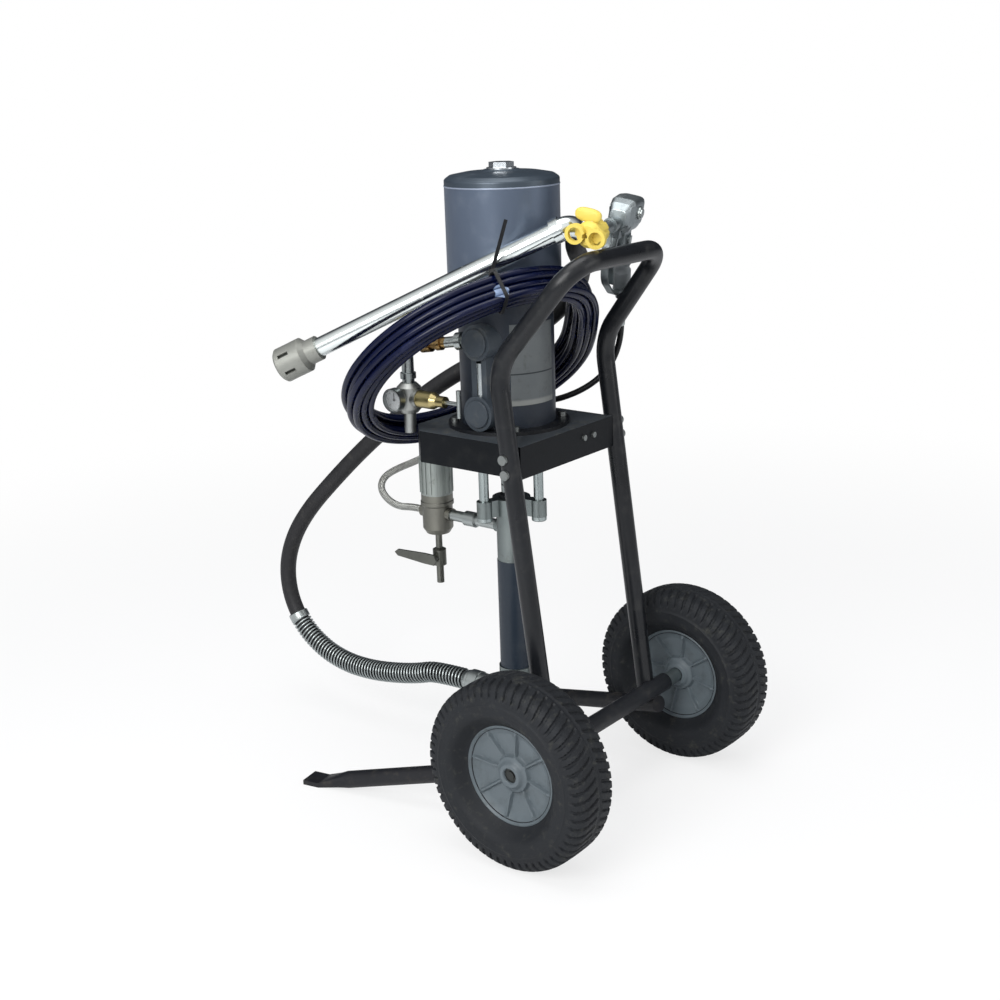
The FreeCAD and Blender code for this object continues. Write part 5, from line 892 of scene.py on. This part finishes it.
# Whip hose: the thin black hose that hangs from the gun's swivel round to the long hose's other union.
WHIP_START = np.array((-0.152516, 0.066619, 0.655875))
WHIP_WAY = np.array((-0.397498, -0.295269, -0.868799))
WHIP_MIDDLE = (
    (-0.150, 0.044, 0.586), (-0.128, 0.012, 0.557), (-0.097, -0.032, 0.541), (-0.098, -0.072, 0.556),
    (-0.106, -0.103, 0.573), (-0.125, -0.136, 0.575), (-0.150, -0.168, 0.550),
)
WHIP_RADIUS, WHIP_LENGTH, WHIP_RUN, WHIP_LEAD = 0.0044, 0.431, 0.034, 0.055
WHIP_TONES = ((12, 13, 15), (22, 23, 26), (70, 70, 66))
end_way = way_out(coil_points[-1], COIL_TURNS - END_TURNS)
whip_end = coil_points[-1] + end_way * (UNION_LENGTH + UNION_GAP)
whip_points = np.vstack((WHIP_START, WHIP_START + WHIP_WAY * WHIP_RUN, WHIP_MIDDLE,
                         whip_end + end_way * WHIP_LEAD, whip_end))
whip_cover = hose_cover("whip_cover", WHIP_TONES, 0.34)
whip = hose("whip_hose_line", whip_points, WHIP_RADIUS, whip_cover, "cart", "whip_hose")

# Unions and tie: steel hexagon unions screwed on both ends of the long hose, and a black nylon tie round its
# turns with its tail left long.
TIE_TONES = ((10, 11, 13), (20, 21, 24), (70, 70, 68))
dress(steel, "hose_unions")
dress(rubber("tie_nylon", TIE_TONES, 0.34, 500.0), "zip_tie")

# Gun: a cast aluminium body and grip with a steel trigger on a pin, a yellow plastic tip guard on its nut, a
# reversible tip with a round handle, and a steel swivel under the grip. It lies across the frame's handle.
GUN_TONES = ((132, 140, 143), (158, 165, 167), (86, 84, 76))
GRIP_TONES = ((100, 105, 108), (122, 127, 129), (70, 68, 62))
YELLOW_TONES = ((212, 186, 78), (226, 204, 100), (150, 128, 66))
GUN_PLACE = (-0.0820, 0.1190, 0.8100)
GUN_HEADING, GUN_DROP, GUN_ROLL = 14.2, 2.5, -12.0
GUN_TURN = np.array(turn("Z", GUN_HEADING) @ turn("Y", GUN_DROP) @ turn("X", GUN_ROLL))[:3, :3]
HEAD_STATIONS = np.array((
    (-0.0362, 0.0000, 0.0080, 0.0080), (-0.0360, 0.0080, -0.0010, 0.0200), (-0.0340, 0.0120, -0.0050, 0.0262),
    (-0.0260, 0.0172, -0.0080, 0.0302), (-0.0100, 0.0181, -0.0090, 0.0318), (0.0080, 0.0179, -0.0090, 0.0300),
    (0.0190, 0.0150, -0.0080, 0.0246), (0.0255, 0.0112, -0.0060, 0.0170), (0.0262, 0.0000, 0.0050, 0.0050),
))
HEAD_POWER, HEAD_STEPS, ROUND_STEPS = 5.0, 8, 64
CAP_OUTLINE = ((0, 0, 0), (0.0088, 0, 0), (0.0088, 0.0035, 0.0008), (0.0062, 0.0035, 0.0003),
               (0.0062, 0.0056, 0.0008), (0, 0.0056, 0))
CAP_ALONG, CAP_OUT, CAP_UP = -0.008, 0.0172, 0.012
gun_metal = metal("gun_metal", GUN_TONES, 0.34, 420.0)
yellow = painted("yellow_plastic", YELLOW_TONES, 0.34, 600.0, dust=0.22)
dress(gun_metal, "gun_body", "trigger", "trigger_guard")
dress(painted("grip_coat", GRIP_TONES, 0.4, dust=0.3), "gun_grip")
dress(yellow, "tip_guard")


def on_gun(points):
    """Points of the gun's own frame, barrel along x and top along z, turned and moved to where the gun hangs."""
    return points @ GUN_TURN.T + np.array(GUN_PLACE)


def pillow(half_across, half_up, angle, power):
    """A rounded rectangle as a superellipse: the cosine and sine of the angle, each to 2 / power, times the
    halves."""
    across = np.sign(np.cos(angle)) * np.abs(np.cos(angle)) ** (2 / power)
    up = np.sign(np.sin(angle)) * np.abs(np.sin(angle)) ** (2 / power)
    return half_across * across, half_up * up


around = np.linspace(0, 2 * math.pi, ROUND_STEPS, endpoint=False)
last = len(HEAD_STATIONS) - 1
shares = np.linspace(0, last, HEAD_STEPS * last + 1)
along, wide, low, high = sampled(HEAD_STATIONS, np.arange(last + 1), shares).T[:, :, None]
across, up = pillow(wide, (high - low) / 2, around, HEAD_POWER)
head_grid = np.stack(np.broadcast_arrays(along, across, up + (high + low) / 2), 2)
head = show(woven("gun_head", on_gun(head_grid)), gun_metal, "cart", sharp=50)
for name, way in (("packing_cap", 1), ("filter_cap", -1)):
    cap_grid = spun(rounded(CAP_OUTLINE, 5), (CAP_ALONG, way * CAP_OUT, CAP_UP), 48, (0, way, 0))
    cap = show(woven(name, on_gun(cap_grid)), steel, "cart")

# Tip: the reversible tip's steel barrel lies in the guard's cross bore, under a yellow finger grip.
HANDLE_CENTRE, HANDLE_HALF, HANDLE_THICK = (0.120, -0.0070, 0.0228), (0.0176, 0.0088), 0.0056
HANDLE_POWER, HANDLE_STEPS = 2.6, 25
STEM_OUTLINE = ((0, -0.012, 0), (0.0049, -0.012, 0.0006), (0.0049, 0.0200, 0), (0, 0.0200, 0))
STEM_PLACE = (0.120, 0, 0)
depth = np.linspace(-1, 1, HANDLE_STEPS)[:, None]
swell = (1 - np.abs(depth) ** 3) ** (1 / 3)
across, up = pillow(*HANDLE_HALF, around, HANDLE_POWER)
handle_grid = np.stack(np.broadcast_arrays(HANDLE_THICK * depth, swell * across, swell * up), 2)
handle_mesh = woven("tip_handle", on_gun(np.array(HANDLE_CENTRE) + handle_grid))
handle = show(handle_mesh, yellow, "gun_tip", "spray_tip", sharp=70)
stem_mesh = woven("tip_stem", on_gun(spun(rounded(STEM_OUTLINE, 5), STEM_PLACE, 40)))
stem = show(stem_mesh, steel, "gun_tip")
dress(steel, "gun_swivel", "safety_latch")
